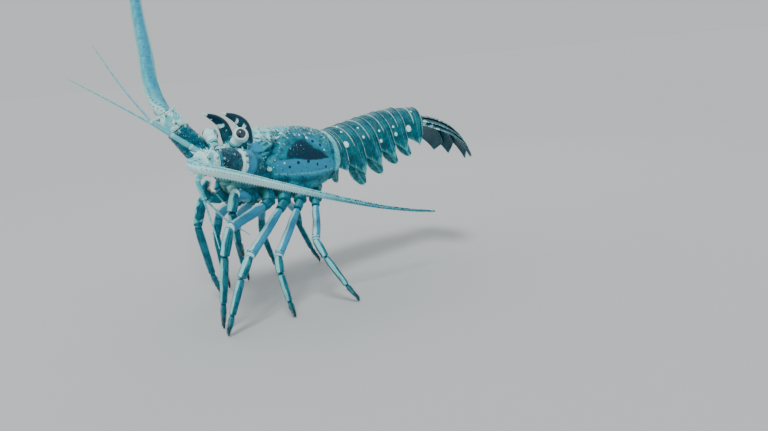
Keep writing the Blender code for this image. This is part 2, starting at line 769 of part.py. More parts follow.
def build_antennule(side, *clearances):
    """Make one forked antennule: a jointed stalk and two thin whips."""
    stalk_path = [trunk(point) for point in ANTENNULE_STALK[side]]
    rings = limb_rings(stalk_path, ANTENNULE_RADIUS, ANTENNULE_RADIUS)
    stalk = add_part(f"antennule_{side}_stalk", loft("stalk", rings), "antennae")
    cut_clear(stalk, *clearances)
    end = stalk_path[-1]
    heading = (stalk_path[-1] - stalk_path[-2]).normalized()
    tips = [trunk(point) for point in ANTENNULE_TIPS[side]]
    apart = (tips[0] - tips[1])
    apart = (apart - heading * apart.dot(heading)).normalized()
    made = [stalk]
    for name, tip, sign in zip(("outer", "inner"), tips, (1.0, -1.0)):
        root = end + heading * GAP + apart * (sign * 0.00095)
        line = (
            (0.0, tuple(root)),
            (0.3, tuple(root.lerp(tip, 0.3) + heading * 0.0035)),
            (1.0, tuple(tip)),
        )
        path = [Vector(smooth(line, i / 9.0)) for i in range(10)]
        headings = directions_along(path)
        headings[0] = heading
        radii = [0.00078 - 0.00052 * (i / 9.0) for i in range(10)]
        rings = limb_rings(path, radii, radii, count=6, headings=headings)
        made.append(add_part(f"antennule_{side}_{name}", loft("whip", rings), "antennae"))
    return made


def build_maxilliped(side, *clearances):
    """Make the short leg-like mouth limb of one side."""
    path = [trunk(mirrored(point, side)) for point in MAXILLIPED_PATH]
    rings = limb_rings(path, MAXILLIPED_RADII, MAXILLIPED_RADII, up=Vector((0.0, 1.0, 0.0)))
    limb = add_part(f"maxilliped_{side}", loft("maxilliped", rings), "legs")
    cut_clear(limb, *clearances)
    return limb


def leg_path(side, number):
    """Give a leg's points from hip to foot and the matching radii."""
    hip, knee, foot, thick = LEGS[(side, number)]
    hip = trunk(hip)
    knee = Vector(knee)
    heading = HIP_HEADING[number]
    outward = Vector((heading[0], SIDES[side] * heading[1], heading[2])).normalized()
    bend = hip + Vector((0.0, SIDES[side] * 0.0072, -0.0015))
    coxa_end = bend + outward * COXA_LENGTH[number]
    run = knee - coxa_end
    ischium_end = coxa_end + run * ISCHIUM_SHARE
    middle = ischium_end.lerp(knee, 0.5) + Vector((0.0, SIDES[side] * 0.0012, 0.0008))
    if foot is None:
        toe = Vector(RAISED_FOOT)
        shank = toe
    else:
        toe = Vector((foot[0], foot[1], 0.0))
        shank = toe + Vector((0.0, 0.0, FOOT_SHANK))
    away = Vector((-0.80, SIDES[side] * 0.45, 0.10))
    wrist = knee.lerp(shank, CARPUS_SHARE) + away * BOW[number]
    palm = knee.lerp(shank, PROPODUS_SHARE) + away * BOW[number] * 0.6
    arrive = knee - ischium_end
    leave = wrist - knee
    room = thick * 1.1 * math.tan(arrive.angle(leave) / 2.0)
    before_knee = knee - arrive.normalized() * max(arrive.length * 0.12, room)
    after_knee = knee + leave.normalized() * max(leave.length * 0.35, room)
    broad = HIP_RADIUS[number]
    points = [
        (hip, broad), (bend, broad * 1.04), (coxa_end, broad * 0.88),
        (coxa_end.lerp(ischium_end, 0.5), thick * 1.12), (ischium_end, thick * 0.92),
        (ischium_end.lerp(knee, 0.12), thick), (middle, thick * 1.02),
        (before_knee, thick * 1.08), (knee, thick * 0.98),
        (after_knee, thick * 1.04), (wrist, thick * 0.86),
        (wrist.lerp(palm, 0.3), thick * 0.90), (palm, thick * 0.64),
        (palm.lerp(shank, 0.4), thick * 0.50), (shank, FOOT_RADIUS), (toe, FOOT_RADIUS),
    ]
    if foot is None:
        points.pop()
        points[-1] = (toe, FOOT_RADIUS * 0.6)
    return points


def build_leg(side, number, *clearances):
    """Make one walking leg in two parts that meet at the knee."""
    points = leg_path(side, number)
    path = [point for point, _ in points]
    radii = [radius for _, radius in points]
    headings = directions_along(path)
    if LEGS[(side, number)][2] is not None:
        headings[-1] = Vector((0.0, 0.0, -1.0))
    rings = limb_rings(path, radii, radii, up=Vector((1.0, 0.2, 0.1)), headings=headings)
    knee_index = 8
    upper_mesh = split_at(rings, headings, 0, "leg", (0, knee_index))
    upper = add_part(f"leg_{number}_{side}_upper", upper_mesh, "legs")
    around_upper = [inflated(upper_mesh)]
    cut_clear(upper, *clearances)
    lower_mesh = split_at(rings, headings, 1, "leg", (knee_index, len(rings) - 1))
    lower = add_part(f"leg_{number}_{side}_lower", lower_mesh, "legs")
    cut_clear(lower, around_upper)
    return upper, lower


def heading_frame(yaw, pitch):
    """Give a frame whose X runs back along the tail, Y to the right, Z up."""
    turn = Matrix.Rotation(-math.radians(yaw), 3, "Z")
    return turn @ Matrix.Rotation(-math.radians(pitch), 3, "Y")


def tail_joints():
    """Give place and frame of every joint from the carapace to the fan."""
    body_pitch = -math.degrees(BODY_PITCH)
    yaws = (0.0,) + TAIL_YAW + (TAIL_YAW[-1] + 2.0,)
    pitches = (body_pitch,) + TAIL_PITCH + (TAIL_PITCH[-1] - FAN_START_PITCH,)
    place = trunk((GAP, 0.0, 0.0))
    joints = [(place, heading_frame(0.0, body_pitch))]
    for index, segment in enumerate(TAIL_SEGMENTS):
        frame = heading_frame(yaws[index + 1], pitches[index + 1])
        place = place + frame @ Vector((segment[0], 0.0, 0.0))
        mean_yaw = (yaws[index + 1] + yaws[index + 2]) / 2.0
        mean_pitch = (pitches[index + 1] + pitches[index + 2]) / 2.0
        joints.append((place, heading_frame(mean_yaw, mean_pitch)))
    return joints


def tail_section(half_width, top, drop):
    """Give the (side, height) outline of a tail segment, open below the belly."""
    arch = []
    count = 15
    for step in range(count):
        angle = math.pi * step / (count - 1)
        y = -half_width * math.cos(angle)
        z = -0.002 + (top + 0.002) * math.sin(angle) ** 0.9
        arch.append((y, z))
    lobe = [(-half_width * 0.975, -drop), (-half_width * 0.995, -0.002 - (drop - 0.002) * 0.5)]
    inner = half_width * 0.975 - LOBE_THICKNESS
    left = lobe
    right = [(-y, z) for y, z in reversed(lobe)]
    wall = inner - 0.0008
    under = [(inner, -drop), (wall, BELLY), (0.0, BELLY - 0.001), (-wall, BELLY), (-inner, -drop)]
    return left + arch + right + under


def tail_ring(place, frame, section, sweep, drop):
    """Place an outline in a joint frame, its lobes swept back."""
    ring = []
    for y, z in section:
        back = sweep * max(0.0, -z - 0.004) / max(drop, 0.004)
        ring.append(place + frame @ Vector((back, y, z)))
    return ring


def tail_stage_sizes(index, share):
    """Give half width, height and lobe drop at a share of a segment's length."""
    _, half_width, top, lobe = TAIL_SEGMENTS[index]
    following = TAIL_SEGMENTS[index + 1][1:3] if index + 1 < len(TAIL_SEGMENTS) else TAIL_END
    rear = 0.5 + 0.5 * share
    width = half_width + (following[0] - half_width) * share * 0.8
    height = top + (following[1] - top) * share * 0.8
    tuck = 0.955 + 0.045 * min(share / 0.30, 1.0) - 0.020 * bump(share, 0.48, 0.06)
    peak = 0.66
    rise = share / peak if share < peak else (1.0 - share) / (1.0 - peak)
    drop = 0.0078 + (lobe - 0.0078) * rise**0.8 * rear / (0.5 + 0.5 * peak) * 0.98
    return width * tuck, height * tuck, drop


def swimmeret(joint_place, frame, side, size):
    """Make one leaf that hangs under a tail segment."""
    stations = ((0.0, 0.0026), (0.25, 0.0052), (0.55, 0.0068), (0.8, 0.0050), (1.0, 0.0010))
    root = joint_place + frame @ Vector((0.0, SIDES[side] * 0.0125, BELLY + 0.003))
    down = frame @ Vector((0.10, SIDES[side] * 0.16, -1.0)).normalized()
    broad = frame @ Vector((1.0, SIDES[side] * 0.25, 0.12)).normalized()
    thick = down.cross(broad).normalized()
    broad = thick.cross(down).normalized()
    rings = []
    for share in (0.0, 0.2, 0.4, 0.6, 0.8, 1.0):
        centre = root + down * (size * share) + broad * (0.004 * share**2)
        half = smooth(stations, share) * size / 0.028
        depth = 0.0009 - 0.0004 * share
        ring = []
        for y, z in ((-1.0, 0.35), (0.0, 1.0), (1.0, 0.35), (1.0, -0.35), (0.0, -1.0), (-1.0, -0.35)):
            ring.append(centre + broad * (half * y) + thick * (depth * z))
        rings.append(ring)
    return loft("swimmeret", rings)


def build_tail_segment(index, joints):
    """Make one ring of the tail with its side lobes and swimmerets."""
    place, frame = joints[index]
    next_place, next_frame = joints[index + 1]
    turn = frame.to_quaternion()
    next_turn = next_frame.to_quaternion()
    rings = []
    for share in (0.0, 0.16, 0.32, 0.48, 0.60, 0.72, 0.86, 1.0):
        half_width, top, drop = tail_stage_sizes(index, share)
        middle = place.lerp(next_place, share)
        blended = turn.slerp(next_turn, share).to_matrix()
        sweep = 0.0025 * (1.0 - abs(share - 0.6) / 0.6) if 0.0 < share < 1.0 else 0.0
        ring = tail_ring(middle, blended, tail_section(half_width, top, drop), sweep, drop)
        rings.append(ring)
    half = GAP / 2.0
    if index > 0:
        rings[0] = shifted(rings[0], frame @ Vector((half, 0.0, 0.0)))
    rings[-1] = shifted(rings[-1], next_frame @ Vector((-half, 0.0, 0.0)))
    segment = add_part(f"tail_segment_{index + 1}", loft("tail", rings), "tail")
    if 1 <= index <= 4:
        middle = place.lerp(next_place, 0.5)
        size = 0.029 - 0.0022 * (index - 1)
        leaves = [swimmeret(middle, frame, side, size) for side in SIDES]
        boolean(segment, "UNION", leaves)
    return segment


def fan_bend(place, frame, point):
    """Bend a flat fan point down along the fan's curve."""
    total = math.radians(FAN_END_PITCH - FAN_START_PITCH)
    radius = FAN_CURL_LENGTH / total
    angle = point[0] / radius
    reach = radius + point[2]
    x = reach * math.sin(angle)
    z = reach * math.cos(angle) - radius
    return place + frame @ Vector((x, point[1], z))


def build_fan_blade(name, place, frame):
    """Make the telson or one blade of the tail fan."""
    heading, offset, length, half_width, layer = FAN_BLADES[name]
    widths = ((0.0, 0.50), (0.2, 0.78), (0.55, 1.0), (0.85, 0.86), (1.0, 0.42))
    turn = math.radians(heading)
    rings = []
    across = (-1.0, -0.5, 0.0, 0.5, 1.0)
    for share in (0.0, 0.12, 0.3, 0.5, 0.7, 0.88, 1.0):
        half = half_width * smooth(widths, share)
        thick = FAN_THICKNESS * (0.60 + 0.40 * (1.0 - share) ** 2)
        upper = []
        lower = []
        for step in across:
            along = share * length * (1.0 - 0.10 * abs(step) * share) + GAP / 2.0
            side = half * step
            x = along * math.cos(turn) - side * math.sin(turn) * min(share * 4.0, 1.0)
            y = offset + along * math.sin(turn) + side * math.cos(turn)
            droop = FAN_ROOT_HEIGHT - FAN_SIDE_DROOP * max(0.0, abs(y) - 0.010) - layer
            edge = 0.55 if abs(step) == 1.0 else 1.0
            upper.append(fan_bend(place, frame, (x, y, droop + thick * edge)))
            lower.append(fan_bend(place, frame, (x, y, droop - thick * edge)))
        rings.append(upper + lower[::-1])
    return add_part(name, loft(name, rings, paired_from=len(across)), "tail")


def build_tail():
    """Make the six tail rings and the fan."""
    joints = tail_joints()
    made = [build_tail_segment(index, joints) for index in range(len(TAIL_SEGMENTS))]
    place, frame = joints[-1]
    for name in FAN_BLADES:
        made.append(build_fan_blade(name, place, frame))
    return made


def settle(made):
    """Give each piece its own origin and centre the animal over the origin."""
    shift = Vector((-BOX_CENTRE[0], -BOX_CENTRE[1], 0.0))
    for part in made:
        corners = [vertex.co for vertex in part.data.vertices]
        middle = sum(corners, Vector()) / len(corners)
        part.data.transform(Matrix.Translation(-middle))
        part.location = middle + shift
        part.parent = bpy.data.objects["stance"]
        part.data.shade_smooth()
        part.data.set_sharp_from_angle(angle=math.radians(40.0))


def start_scene():
    """Clear the scene and make the collections and the parent empty."""
    for old in list(bpy.data.objects):
        bpy.data.objects.remove(old)
    for name in (COLLECTION_NAME, CUTTER_COLLECTION_NAME):
        bpy.context.scene.collection.children.link(bpy.data.collections.new(name))
    add_object("stance", None)


def main():
    """Build the whole animal."""
    start_scene()
    bare = carapace_mesh()
    around_carapace = [inflated(bare)]
    around_head = head_meshes(GAP)
    around_sternum = [sternum_mesh(GAP)]
    carapace = add_part("carapace", bare, "carapace")
    made = [carapace, build_head(around_carapace), build_sternum(around_head)]
    for side in SIDES:
        made.append(build_horn(side, around_carapace, around_head))
        made.append(build_eye(side, around_carapace, around_head))
        made += build_antenna(side, around_carapace, around_head)
        made += build_antennule(side, around_carapace, around_head)
        made.append(build_maxilliped(side, around_carapace, around_head, around_sternum))
        for number in range(1, 6):
            made += build_leg(side, number, around_carapace, around_head, around_sternum)
    made += build_tail()
    boolean(carapace, "UNION", carapace_spines())
    settle(made)


main()
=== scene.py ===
import json
import logging
import math
from dataclasses import dataclass
from enum import Enum

import bpy
import numpy as np
from mathutils import Matrix

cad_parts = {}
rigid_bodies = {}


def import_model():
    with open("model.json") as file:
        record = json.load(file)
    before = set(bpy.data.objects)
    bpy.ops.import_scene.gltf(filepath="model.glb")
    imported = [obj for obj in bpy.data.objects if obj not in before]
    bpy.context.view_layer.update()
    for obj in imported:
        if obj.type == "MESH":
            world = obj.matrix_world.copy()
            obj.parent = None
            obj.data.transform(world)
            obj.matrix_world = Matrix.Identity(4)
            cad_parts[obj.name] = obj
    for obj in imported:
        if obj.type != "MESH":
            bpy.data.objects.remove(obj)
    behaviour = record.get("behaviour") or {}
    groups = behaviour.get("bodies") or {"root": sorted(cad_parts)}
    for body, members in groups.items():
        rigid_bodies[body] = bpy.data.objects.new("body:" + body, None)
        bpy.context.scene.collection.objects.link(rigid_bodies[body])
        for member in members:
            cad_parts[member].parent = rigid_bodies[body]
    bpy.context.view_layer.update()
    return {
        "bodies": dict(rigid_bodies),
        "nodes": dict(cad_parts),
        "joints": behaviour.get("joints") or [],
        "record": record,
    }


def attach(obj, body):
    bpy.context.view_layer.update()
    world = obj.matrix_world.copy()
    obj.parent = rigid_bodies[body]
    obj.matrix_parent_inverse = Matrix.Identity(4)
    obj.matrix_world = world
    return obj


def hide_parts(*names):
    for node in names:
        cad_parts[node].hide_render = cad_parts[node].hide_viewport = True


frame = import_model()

LOG = logging.getLogger("spiny_lobster")
Array = np.ndarray
Colour = tuple[float, float, float]
GAP = 0.0003
FLOOR_LEVEL = 0.0002
UP = np.array([0.0, 0.0, 1.0])
ACROSS = np.array([0.0, 1.0, 0.0])
VIOLET = (0.026, 0.270, 0.450)
PALE = (0.120, 0.600, 0.650)
DARK = (0.000, 0.030, 0.062)
CREAM = (0.600, 0.930, 0.920)


class Side(Enum):
    """The animal's two sides, as the sign of Y."""

    LEFT = -1.0
    RIGHT = 1.0

    @property
    def label(self) -> str:
        """Give the side's name in lower case."""
        return self.name.lower()


class Slot(Enum):
    """The record's material slots."""

    CARAPACE = "carapace_shell"
    TAIL = "tail_shell"
    LEG = "leg_shell"
    ANTENNA = "antenna"
    HORN = "horn"
    EYE = "eye"
    UNDERSIDE = "underside"


def unit(vectors: Array) -> Array:
    """Give vectors of length 1: each is divided by the root of its squared sum."""
    vectors = np.asarray(vectors, dtype=float)
    return vectors / np.maximum(np.linalg.norm(vectors, axis=-1, keepdims=True), 1e-12)


def hump(place: Array, centre: Array | float, width: float) -> Array:
    """Give e to the minus square of the distance from the centre over the width."""
    return np.exp(-(((place - centre) / width) ** 2))


def ramp(value: Array, low: float, high: float) -> Array:
    """Rise from 0 at low to 1 at high as 3 t squared less 2 t cubed."""
    t = np.clip((value - low) / (high - low), 0.0, 1.0)
    return t * t * (3.0 - 2.0 * t)


def band(value: Array, low: float, high: float, soft: float) -> Array:
    """Give 1 between low and high, with soft edges of the given width."""
    return ramp(value, low - soft, low + soft) * (1.0 - ramp(value, high - soft, high + soft))


def smooth(places: Array, values: Array, at: Array) -> Array:
    """Read a smooth line through stations.

    Between two stations it is the cubic with their values and slopes, and a slope is
    the mean rise from the station before to the one behind.

    Args:
        places: Where the stations are, rising.
        values: The value at each station, a number or a row of numbers.
        at: Where to read.

    Returns:
        One value for each place in at.
    """
    places = np.asarray(places, dtype=float)
    values = np.asarray(values, dtype=float)
    at = np.clip(np.asarray(at, dtype=float), places[0], places[-1])
    slopes = np.gradient(values, places, axis=0)
    index = np.clip(np.searchsorted(places, at, side="right") - 1, 0, len(places) - 2)
    span = places[index + 1] - places[index]
    t = (at - places[index]) / span
    shape = t.shape + (1,) * (values.ndim - 1)
    t = t.reshape(shape)
    span = span.reshape(shape)
    start = values[index] * (2 * t**3 - 3 * t**2 + 1)
    start = start + slopes[index] * span * (t**3 - 2 * t**2 + t)
    end = values[index + 1] * (3 * t**2 - 2 * t**3)
    return start + end + slopes[index + 1] * span * (t**3 - t**2)


def wander(points: Array, wavelength: float, seed: int) -> Array:
    """Give a soft uneven field from -1 to 1: the mean of nine sine waves in set directions."""
    draw = np.random.default_rng(seed)
    waves = unit(draw.normal(size=(9, 3))) * (2.0 * math.pi / wavelength)
    waves = waves * draw.uniform(0.6, 1.5, size=(9, 1))
    phase = draw.uniform(0.0, 2.0 * math.pi, size=9)
    return np.sin(points @ waves.T + phase).mean(axis=-1) * 2.0


def headings_along(path: Array) -> Array:
    """Give the direction at each point of a path, halfway between its neighbours'."""
    legs = unit(np.diff(path, axis=0))
    return np.concatenate([legs[:1], unit(legs[:-1] + legs[1:]), legs[-1:]])


def cross_axes(headings: Array, up: Array) -> tuple[Array, Array]:
    """Give the sideways and upward axes that stand square on each heading."""
    sideways = unit(np.cross(headings, up))
    return sideways, unit(np.cross(sideways, headings))


def ring_angles(count: int) -> Array:
    """Give the angles of a ring's columns, half a step off zero."""
    return 2.0 * math.pi * (np.arange(count) + 0.5) / count


def rings_about(directions: Array, sides: int) -> tuple[Array, Array]:
    """Give circles of radius 1 that stand square on directions, and their angles."""
    steep = np.abs(directions[:, 2:3]) > 0.8
    sideways = unit(np.cross(directions, np.where(steep, [[1.0, 0.0, 0.0]], [UP])))
    upward = np.cross(sideways, directions)
    angle = 2.0 * math.pi * np.arange(sides) / sides
    return np.cos(angle)[:, None] * sideways[:, None] + np.sin(angle)[:, None] * upward[:, None], angle


def length_along(path: Array) -> Array:
    """Give the distance gone at each point of a path."""
    return np.concatenate([[0.0], np.cumsum(np.linalg.norm(np.diff(path, axis=0), axis=1))])


def folded(points: Array) -> Array:
    """Give points with both sides laid on the right one: x, the size of y, z."""
    return points * [1.0, 0.0, 1.0] + np.abs(points) * [0.0, 1.0, 0.0]


def tube(path: Array, headings: Array, widths: Array, heights: Array, up: Array, count: int) -> Array:
    """Carry an oval along a path.

    A point is the path's point, plus sideways times width times the cosine of the
    angle, plus upwards times height times its sine.

    Args:
        path: The centre line, one point for each row.
        headings: Its direction at each row.
        widths: Half widths, one for each row, or for each row and column.
        heights: Half heights, as widths.
        up: The direction that the heights lean to.
        count: The columns round the tube.

    Returns:
        The points as rows by columns by 3.
    """
    angle = ring_angles(count)
    sideways, upward = cross_axes(headings, up)
    widths = np.asarray(widths).reshape(len(path), -1)
    heights = np.asarray(heights).reshape(len(path), -1)
    across = (widths * np.cos(angle))[..., None] * sideways[:, None]
    rise = (heights * np.sin(angle))[..., None] * upward[:, None]
    return path[:, None] + across + rise


def ellipsoid(centre: Array, radii: Array, rows: int, columns: int) -> Array:
    """Give a ball's points: centre plus radii times (cos t, sin t cos a, sin t sin a)."""
    turn = np.linspace(0.03, math.pi - 0.03, rows)[:, None]
    angle = 2.0 * math.pi * np.arange(columns)[None] / columns
    x = np.broadcast_to(np.cos(turn), (rows, columns))
    unit_ball = np.stack([x, np.sin(turn) * np.cos(angle), np.sin(turn) * np.sin(angle)], axis=-1)
    return np.asarray(centre) + unit_ball * np.asarray(radii)


def grid_normals(points: Array) -> Array:
    """Give the normals of a grid: its step down the rows crossed with its step round them."""
    down = np.gradient(points, axis=0)
    around = np.roll(points, -1, axis=1) - np.roll(points, 1, axis=1)
    normals = unit(np.cross(down, around))
    middle = points.mean(axis=(0, 1))
    inward = np.sum(normals * (points - middle)) < 0.0
    return -normals if inward else normals


@dataclass(frozen=True)
class BodyFrame:
    """The body's own frame: its origin is at the carapace's rear end, its X runs back."""

    pitch: float = math.radians(8.0)
    height: float = 0.107
    shift: tuple[float, float] = (0.02151, -0.112405)

    def turn(self, vectors: Array) -> Array:
        """Turn body directions by the pitch: x c + z s, y, z c - x s."""
        c, s = math.cos(self.pitch), math.sin(self.pitch)
        return np.asarray(vectors, dtype=float) @ np.array([[c, 0, -s], [0, 1, 0], [s, 0, c]])

    def standing(self, points: Array) -> Array:
        """Move points of the floor frame to the middle of the whole animal's box."""
        return np.asarray(points, dtype=float) + np.array([*self.shift, 0.0])

    def place(self, points: Array) -> Array:
        """Give the places of body points on the floor: turned, lifted and moved."""
        return self.standing(self.turn(points) + np.array([0.0, 0.0, self.height]))


BODY = BodyFrame()


class Piece:
    """Collects closed skins and makes them one mesh object."""

    def __init__(self, name: str) -> None:
        """Start an empty piece."""
        self.name = name
        self.points: list[Array] = []
        self.quads: list[Array] = []
        self.triangles: list[Array] = []
        self.masks: list[dict[str, Array]] = []
        self.sizes: list[int] = []
        self.places: list[Array] = []

    def add(self, points: Array, tips: Array | None = None, **masks: Array | float) -> None:
        """Add one closed skin, or many like ones.

        Columns run round the skin and join up. Each end closes to a pole, the mean of
        its ring, or the given tip at the far end.

        Args:
            points: Rows by columns by 3, or count by rows by columns by 3.
            tips: The far poles, one for each skin.
            masks: Numbers of each point, shaped like the points, or one number.
        """
        points = points[None] if points.ndim == 3 else points
        copies, rows, columns = points.shape[:3]
        far = points[:, -1].mean(axis=1) if tips is None else np.atleast_2d(tips)
        flat = np.concatenate(
            [points.reshape(copies, -1, 3), points[:, 0].mean(axis=1)[:, None], far[:, None]], axis=1
        )
        index = np.arange(rows * columns).reshape(rows, columns)
        beside = np.roll(index, -1, axis=1)
        quads = np.stack([index[:-1], index[1:], beside[1:], beside[:-1]], axis=-1).reshape(-1, 4)
        near_pole = np.full(columns, rows * columns)
        start = np.stack([near_pole, index[0], beside[0]], axis=-1)
        end = np.stack([near_pole + 1, beside[-1], index[-1]], axis=-1)
        triangles = np.concatenate([start, end])
        halves = np.concatenate([quads[:, :3], quads[:, [0, 2, 3]], triangles])
        corners = flat[0][halves] - flat[0].mean(axis=0)
        if np.einsum("ij,ij->i", corners[:, 0], np.cross(corners[:, 1], corners[:, 2])).sum() < 0.0:
            quads, triangles = quads[:, ::-1], triangles[:, ::-1]
        first = sum(self.sizes)
        offsets = first + np.arange(copies)[:, None, None] * (rows * columns + 2)
        self.quads.append((quads[None] + offsets).reshape(-1, 4))
        self.triangles.append((triangles[None] + offsets).reshape(-1, 3))
        self.points.append(flat.reshape(-1, 3))
        self.sizes.append(flat.shape[0] * flat.shape[1])
        self.masks.append({key: self.spread(value, points.shape[:3]) for key, value in masks.items()})

    @staticmethod
    def spread(value: Array | float, shape: tuple[int, int, int]) -> Array:
        """Give a mask one number for each point and pole, in the points' order."""
        grid = np.broadcast_to(np.asarray(value, dtype=float), shape)
        ends = [grid[:, 0].mean(axis=1)[:, None], grid[:, -1].mean(axis=1)[:, None]]
        return np.concatenate([grid.reshape(shape[0], -1), *ends], axis=1).ravel()

    def finished(self, material: bpy.types.Material, flat_uv: Array | None = None) -> bpy.types.Object:
        """Make the mesh object with its masks as attributes.

        Args:
            material: The piece's finish.
            flat_uv: One place on the unwrap for each point, for hairs.

        Returns:
            The object, at the origin, with its place in its mesh.
        """
        points = np.concatenate(self.points)
        corners = np.concatenate([faces.ravel() for faces in self.quads + self.triangles])
        sides = [np.full(len(faces), faces.shape[1]) for faces in self.quads + self.triangles]
        totals = np.concatenate(sides)
        mesh = bpy.data.meshes.new(self.name)
        mesh.vertices.add(len(points))
        mesh.vertices.foreach_set("co", points.astype(np.float32).ravel())
        mesh.loops.add(len(corners))
        mesh.loops.foreach_set("vertex_index", corners.astype(np.int32))
        mesh.polygons.add(len(totals))
        mesh.polygons.foreach_set("loop_start", (np.cumsum(totals) - totals).astype(np.int32))
        mesh.update(calc_edges=True)
        for key in sorted({key for masks in self.masks for key in masks}):
            parts = [masks.get(key, np.zeros(size)) for masks, size in zip(self.masks, self.sizes)]
            layer = mesh.attributes.new(key, "FLOAT", "POINT")
            layer.data.foreach_set("value", np.concatenate(parts).astype(np.float32))
        if flat_uv is not None:
            layer = mesh.uv_layers.new(name="OFBake")
            layer.data.foreach_set("uv", flat_uv[corners].astype(np.float32).ravel())
        mesh.shade_smooth()
        mesh.materials.append(material)
        made = bpy.data.objects.new(self.name, mesh)
        bpy.context.scene.collection.objects.link(made)
        return made


def settle(made: bpy.types.Object, slot: Slot, *nodes: str) -> None:
    """Fix a finished piece to the body, hide the solids it stands for and log its faces."""
    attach(made, "root")
    if nodes:
        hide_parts(*nodes)
    LOG.info("%s: %d faces, for %s", made.name, len(made.data.polygons), nodes or "no solid")


def thorns(
    piece: Piece,
    roots: Array,
    leans: Array,
    lengths: Array,
    radii: Array,
    bend: Array,
    sides: int = 7,
    rows: int = 5,
    sink: float = 0.0008,
    **masks: float,
) -> None:
    """Add curved thorns to a piece.

    A thorn's centre line is root plus lean times length times s, plus bend times
    length times s squared. Its radius falls as (1 - s) to the power 0.85, with a
    flare of the root.

    Args:
        piece: The piece that gets them.
        roots: Where each stands on its skin.
        leans: The direction of each, of length 1.
        lengths: The length of each.
        radii: The root's radius of each.
        bend: Where the tips hook to, one vector or one for each.
        sides: Columns round a thorn.
        rows: Rows along a thorn.
        sink: How deep the roots are sunk.
        masks: More masks, one number each.
    """
    roots = np.atleast_2d(roots)
    leans = unit(np.atleast_2d(leans))
    lengths = np.broadcast_to(lengths, len(roots))
    radii = np.broadcast_to(radii, len(roots))
    bend = np.broadcast_to(bend, roots.shape)
    share = np.linspace(0.0, 0.9, rows)
    ring, _ = rings_about(leans, sides)
    reach = lengths[:, None] * share
    centre = roots[:, None] + leans[:, None] * (reach - sink * (1.0 - share))[..., None]
    centre = centre + bend[:, None] * (reach * share)[..., None]
    thick = radii[:, None] * ((1.0 - share) ** 0.85 + 0.35 * np.exp(-share * 14.0))
    points = centre[:, :, None] + thick[..., None, None] * ring[:, None]
    tips = roots + leans * lengths[:, None] + bend * lengths[:, None]
    along = np.broadcast_to(share[None, :, None], points.shape[:3])
    piece.add(points, tips=tips, tip=along, **masks)


def hairs(
    piece: Piece, roots: Array, leans: Array, lengths: Array, radius: float, droop: Array, unwrap: Array
) -> Array:
    """Add fine three-sided bristles to a piece.

    A bristle runs from its root along its lean, plus droop times length times the
    square of the share, and thins evenly to its tip.

    Args:
        piece: The piece that gets them.
        roots: Where each grows.
        leans: The direction of each.
        lengths: The length of each.
        radius: The root's radius.
        droop: Where the ends sag or sweep to.
        unwrap: The root's place on the unwrapped skin, from 0 to 1 each way.

    Returns:
        The place on the unwrap of every point added, each bristle in its own patch.
    """
    sides = 3
    share = np.array([0.0, 0.45, 0.8])
    leans = unit(leans)
    ring, angle = rings_about(leans, sides)
    reach = np.broadcast_to(lengths, len(roots))[:, None] * share
    droop = np.broadcast_to(droop, roots.shape)
    centre = roots[:, None] + leans[:, None] * reach[..., None]
    centre = centre + droop[:, None] * (reach * share)[..., None]
    points = centre[:, :, None] + (radius * (1.0 - share))[None, :, None, None] * ring[:, None]
    tips = roots + (leans + droop) * np.broadcast_to(lengths, len(roots))[:, None]
    along = np.broadcast_to(share[None, :, None], points.shape[:3])
    piece.add(points, tips=tips, tip=along)
    patch = 0.0015
    circle = np.stack([np.cos(angle), np.sin(angle)], axis=-1)
    local = circle[None] * (patch * (1.0 - 0.5 * share))[:, None, None]
    local = np.concatenate([local.reshape(-1, 2), np.zeros((2, 2))])
    return (np.clip(unwrap, 0.01, 0.99)[:, None] + local[None]).reshape(-1, 2)


def add_node(
    tree: bpy.types.NodeTree, kind: str, settings: dict | None = None, inputs: dict | None = None
) -> bpy.types.Node:
    """Add a node to a tree.

    Args:
        tree: The material's or the group's tree.
        kind: The node's type.
        settings: Its own properties.
        inputs: Values or sockets for its inputs, by name or number.

    Returns:
        The node.
    """
    node = tree.nodes.new(kind)
    for key, value in (settings or {}).items():
        setattr(node, key, value)
    for key, value in (inputs or {}).items():
        if isinstance(value, bpy.types.NodeSocket):
            tree.links.new(value, node.inputs[key])
        else:
            node.inputs[key].default_value = value
    return node


def blend_colours(
    tree: bpy.types.NodeTree, share: bpy.types.NodeSocket, first: object, second: object
) -> bpy.types.NodeSocket:
    """Mix two colours, each a socket or three numbers, by a share from 0 to 1."""
    first = first if isinstance(first, bpy.types.NodeSocket) else (*first, 1.0)
    second = second if isinstance(second, bpy.types.NodeSocket) else (*second, 1.0)
    node = add_node(tree, "ShaderNodeMix", {"data_type": "RGBA"}, {0: share, 6: first, 7: second})
    return node.outputs[2]


def combine(tree: bpy.types.NodeTree, work: str, first: object, second: object) -> bpy.types.NodeSocket:
    """Work out one value from two with a Math node."""
    return add_node(tree, "ShaderNodeMath", {"operation": work}, {0: first, 1: second}).outputs[0]


def stretch(
    tree: bpy.types.NodeTree, value: bpy.types.NodeSocket, low: float, high: float, start: float, end: float
) -> bpy.types.NodeSocket:
    """Map low to high smoothly onto start to end, and hold it outside."""
    limits = {"From Min": low, "From Max": high, "To Min": start, "To Max": end}
    node = add_node(
        tree, "ShaderNodeMapRange", {"interpolation_type": "SMOOTHSTEP"}, {"Value": value, **limits}
    )
    return node.outputs["Result"]


def group_node(tree: bpy.types.NodeTree, group: bpy.types.NodeTree, inputs: dict) -> bpy.types.Node:
    """Add one of the shared groups to a tree."""
    return add_node(tree, "ShaderNodeGroup", {"node_tree": group}, inputs)


def attribute(tree: bpy.types.NodeTree, name: str) -> bpy.types.NodeSocket:
    """Read one of the piece's painted numbers."""
    return add_node(tree, "ShaderNodeAttribute", {"attribute_name": name}).outputs["Fac"]


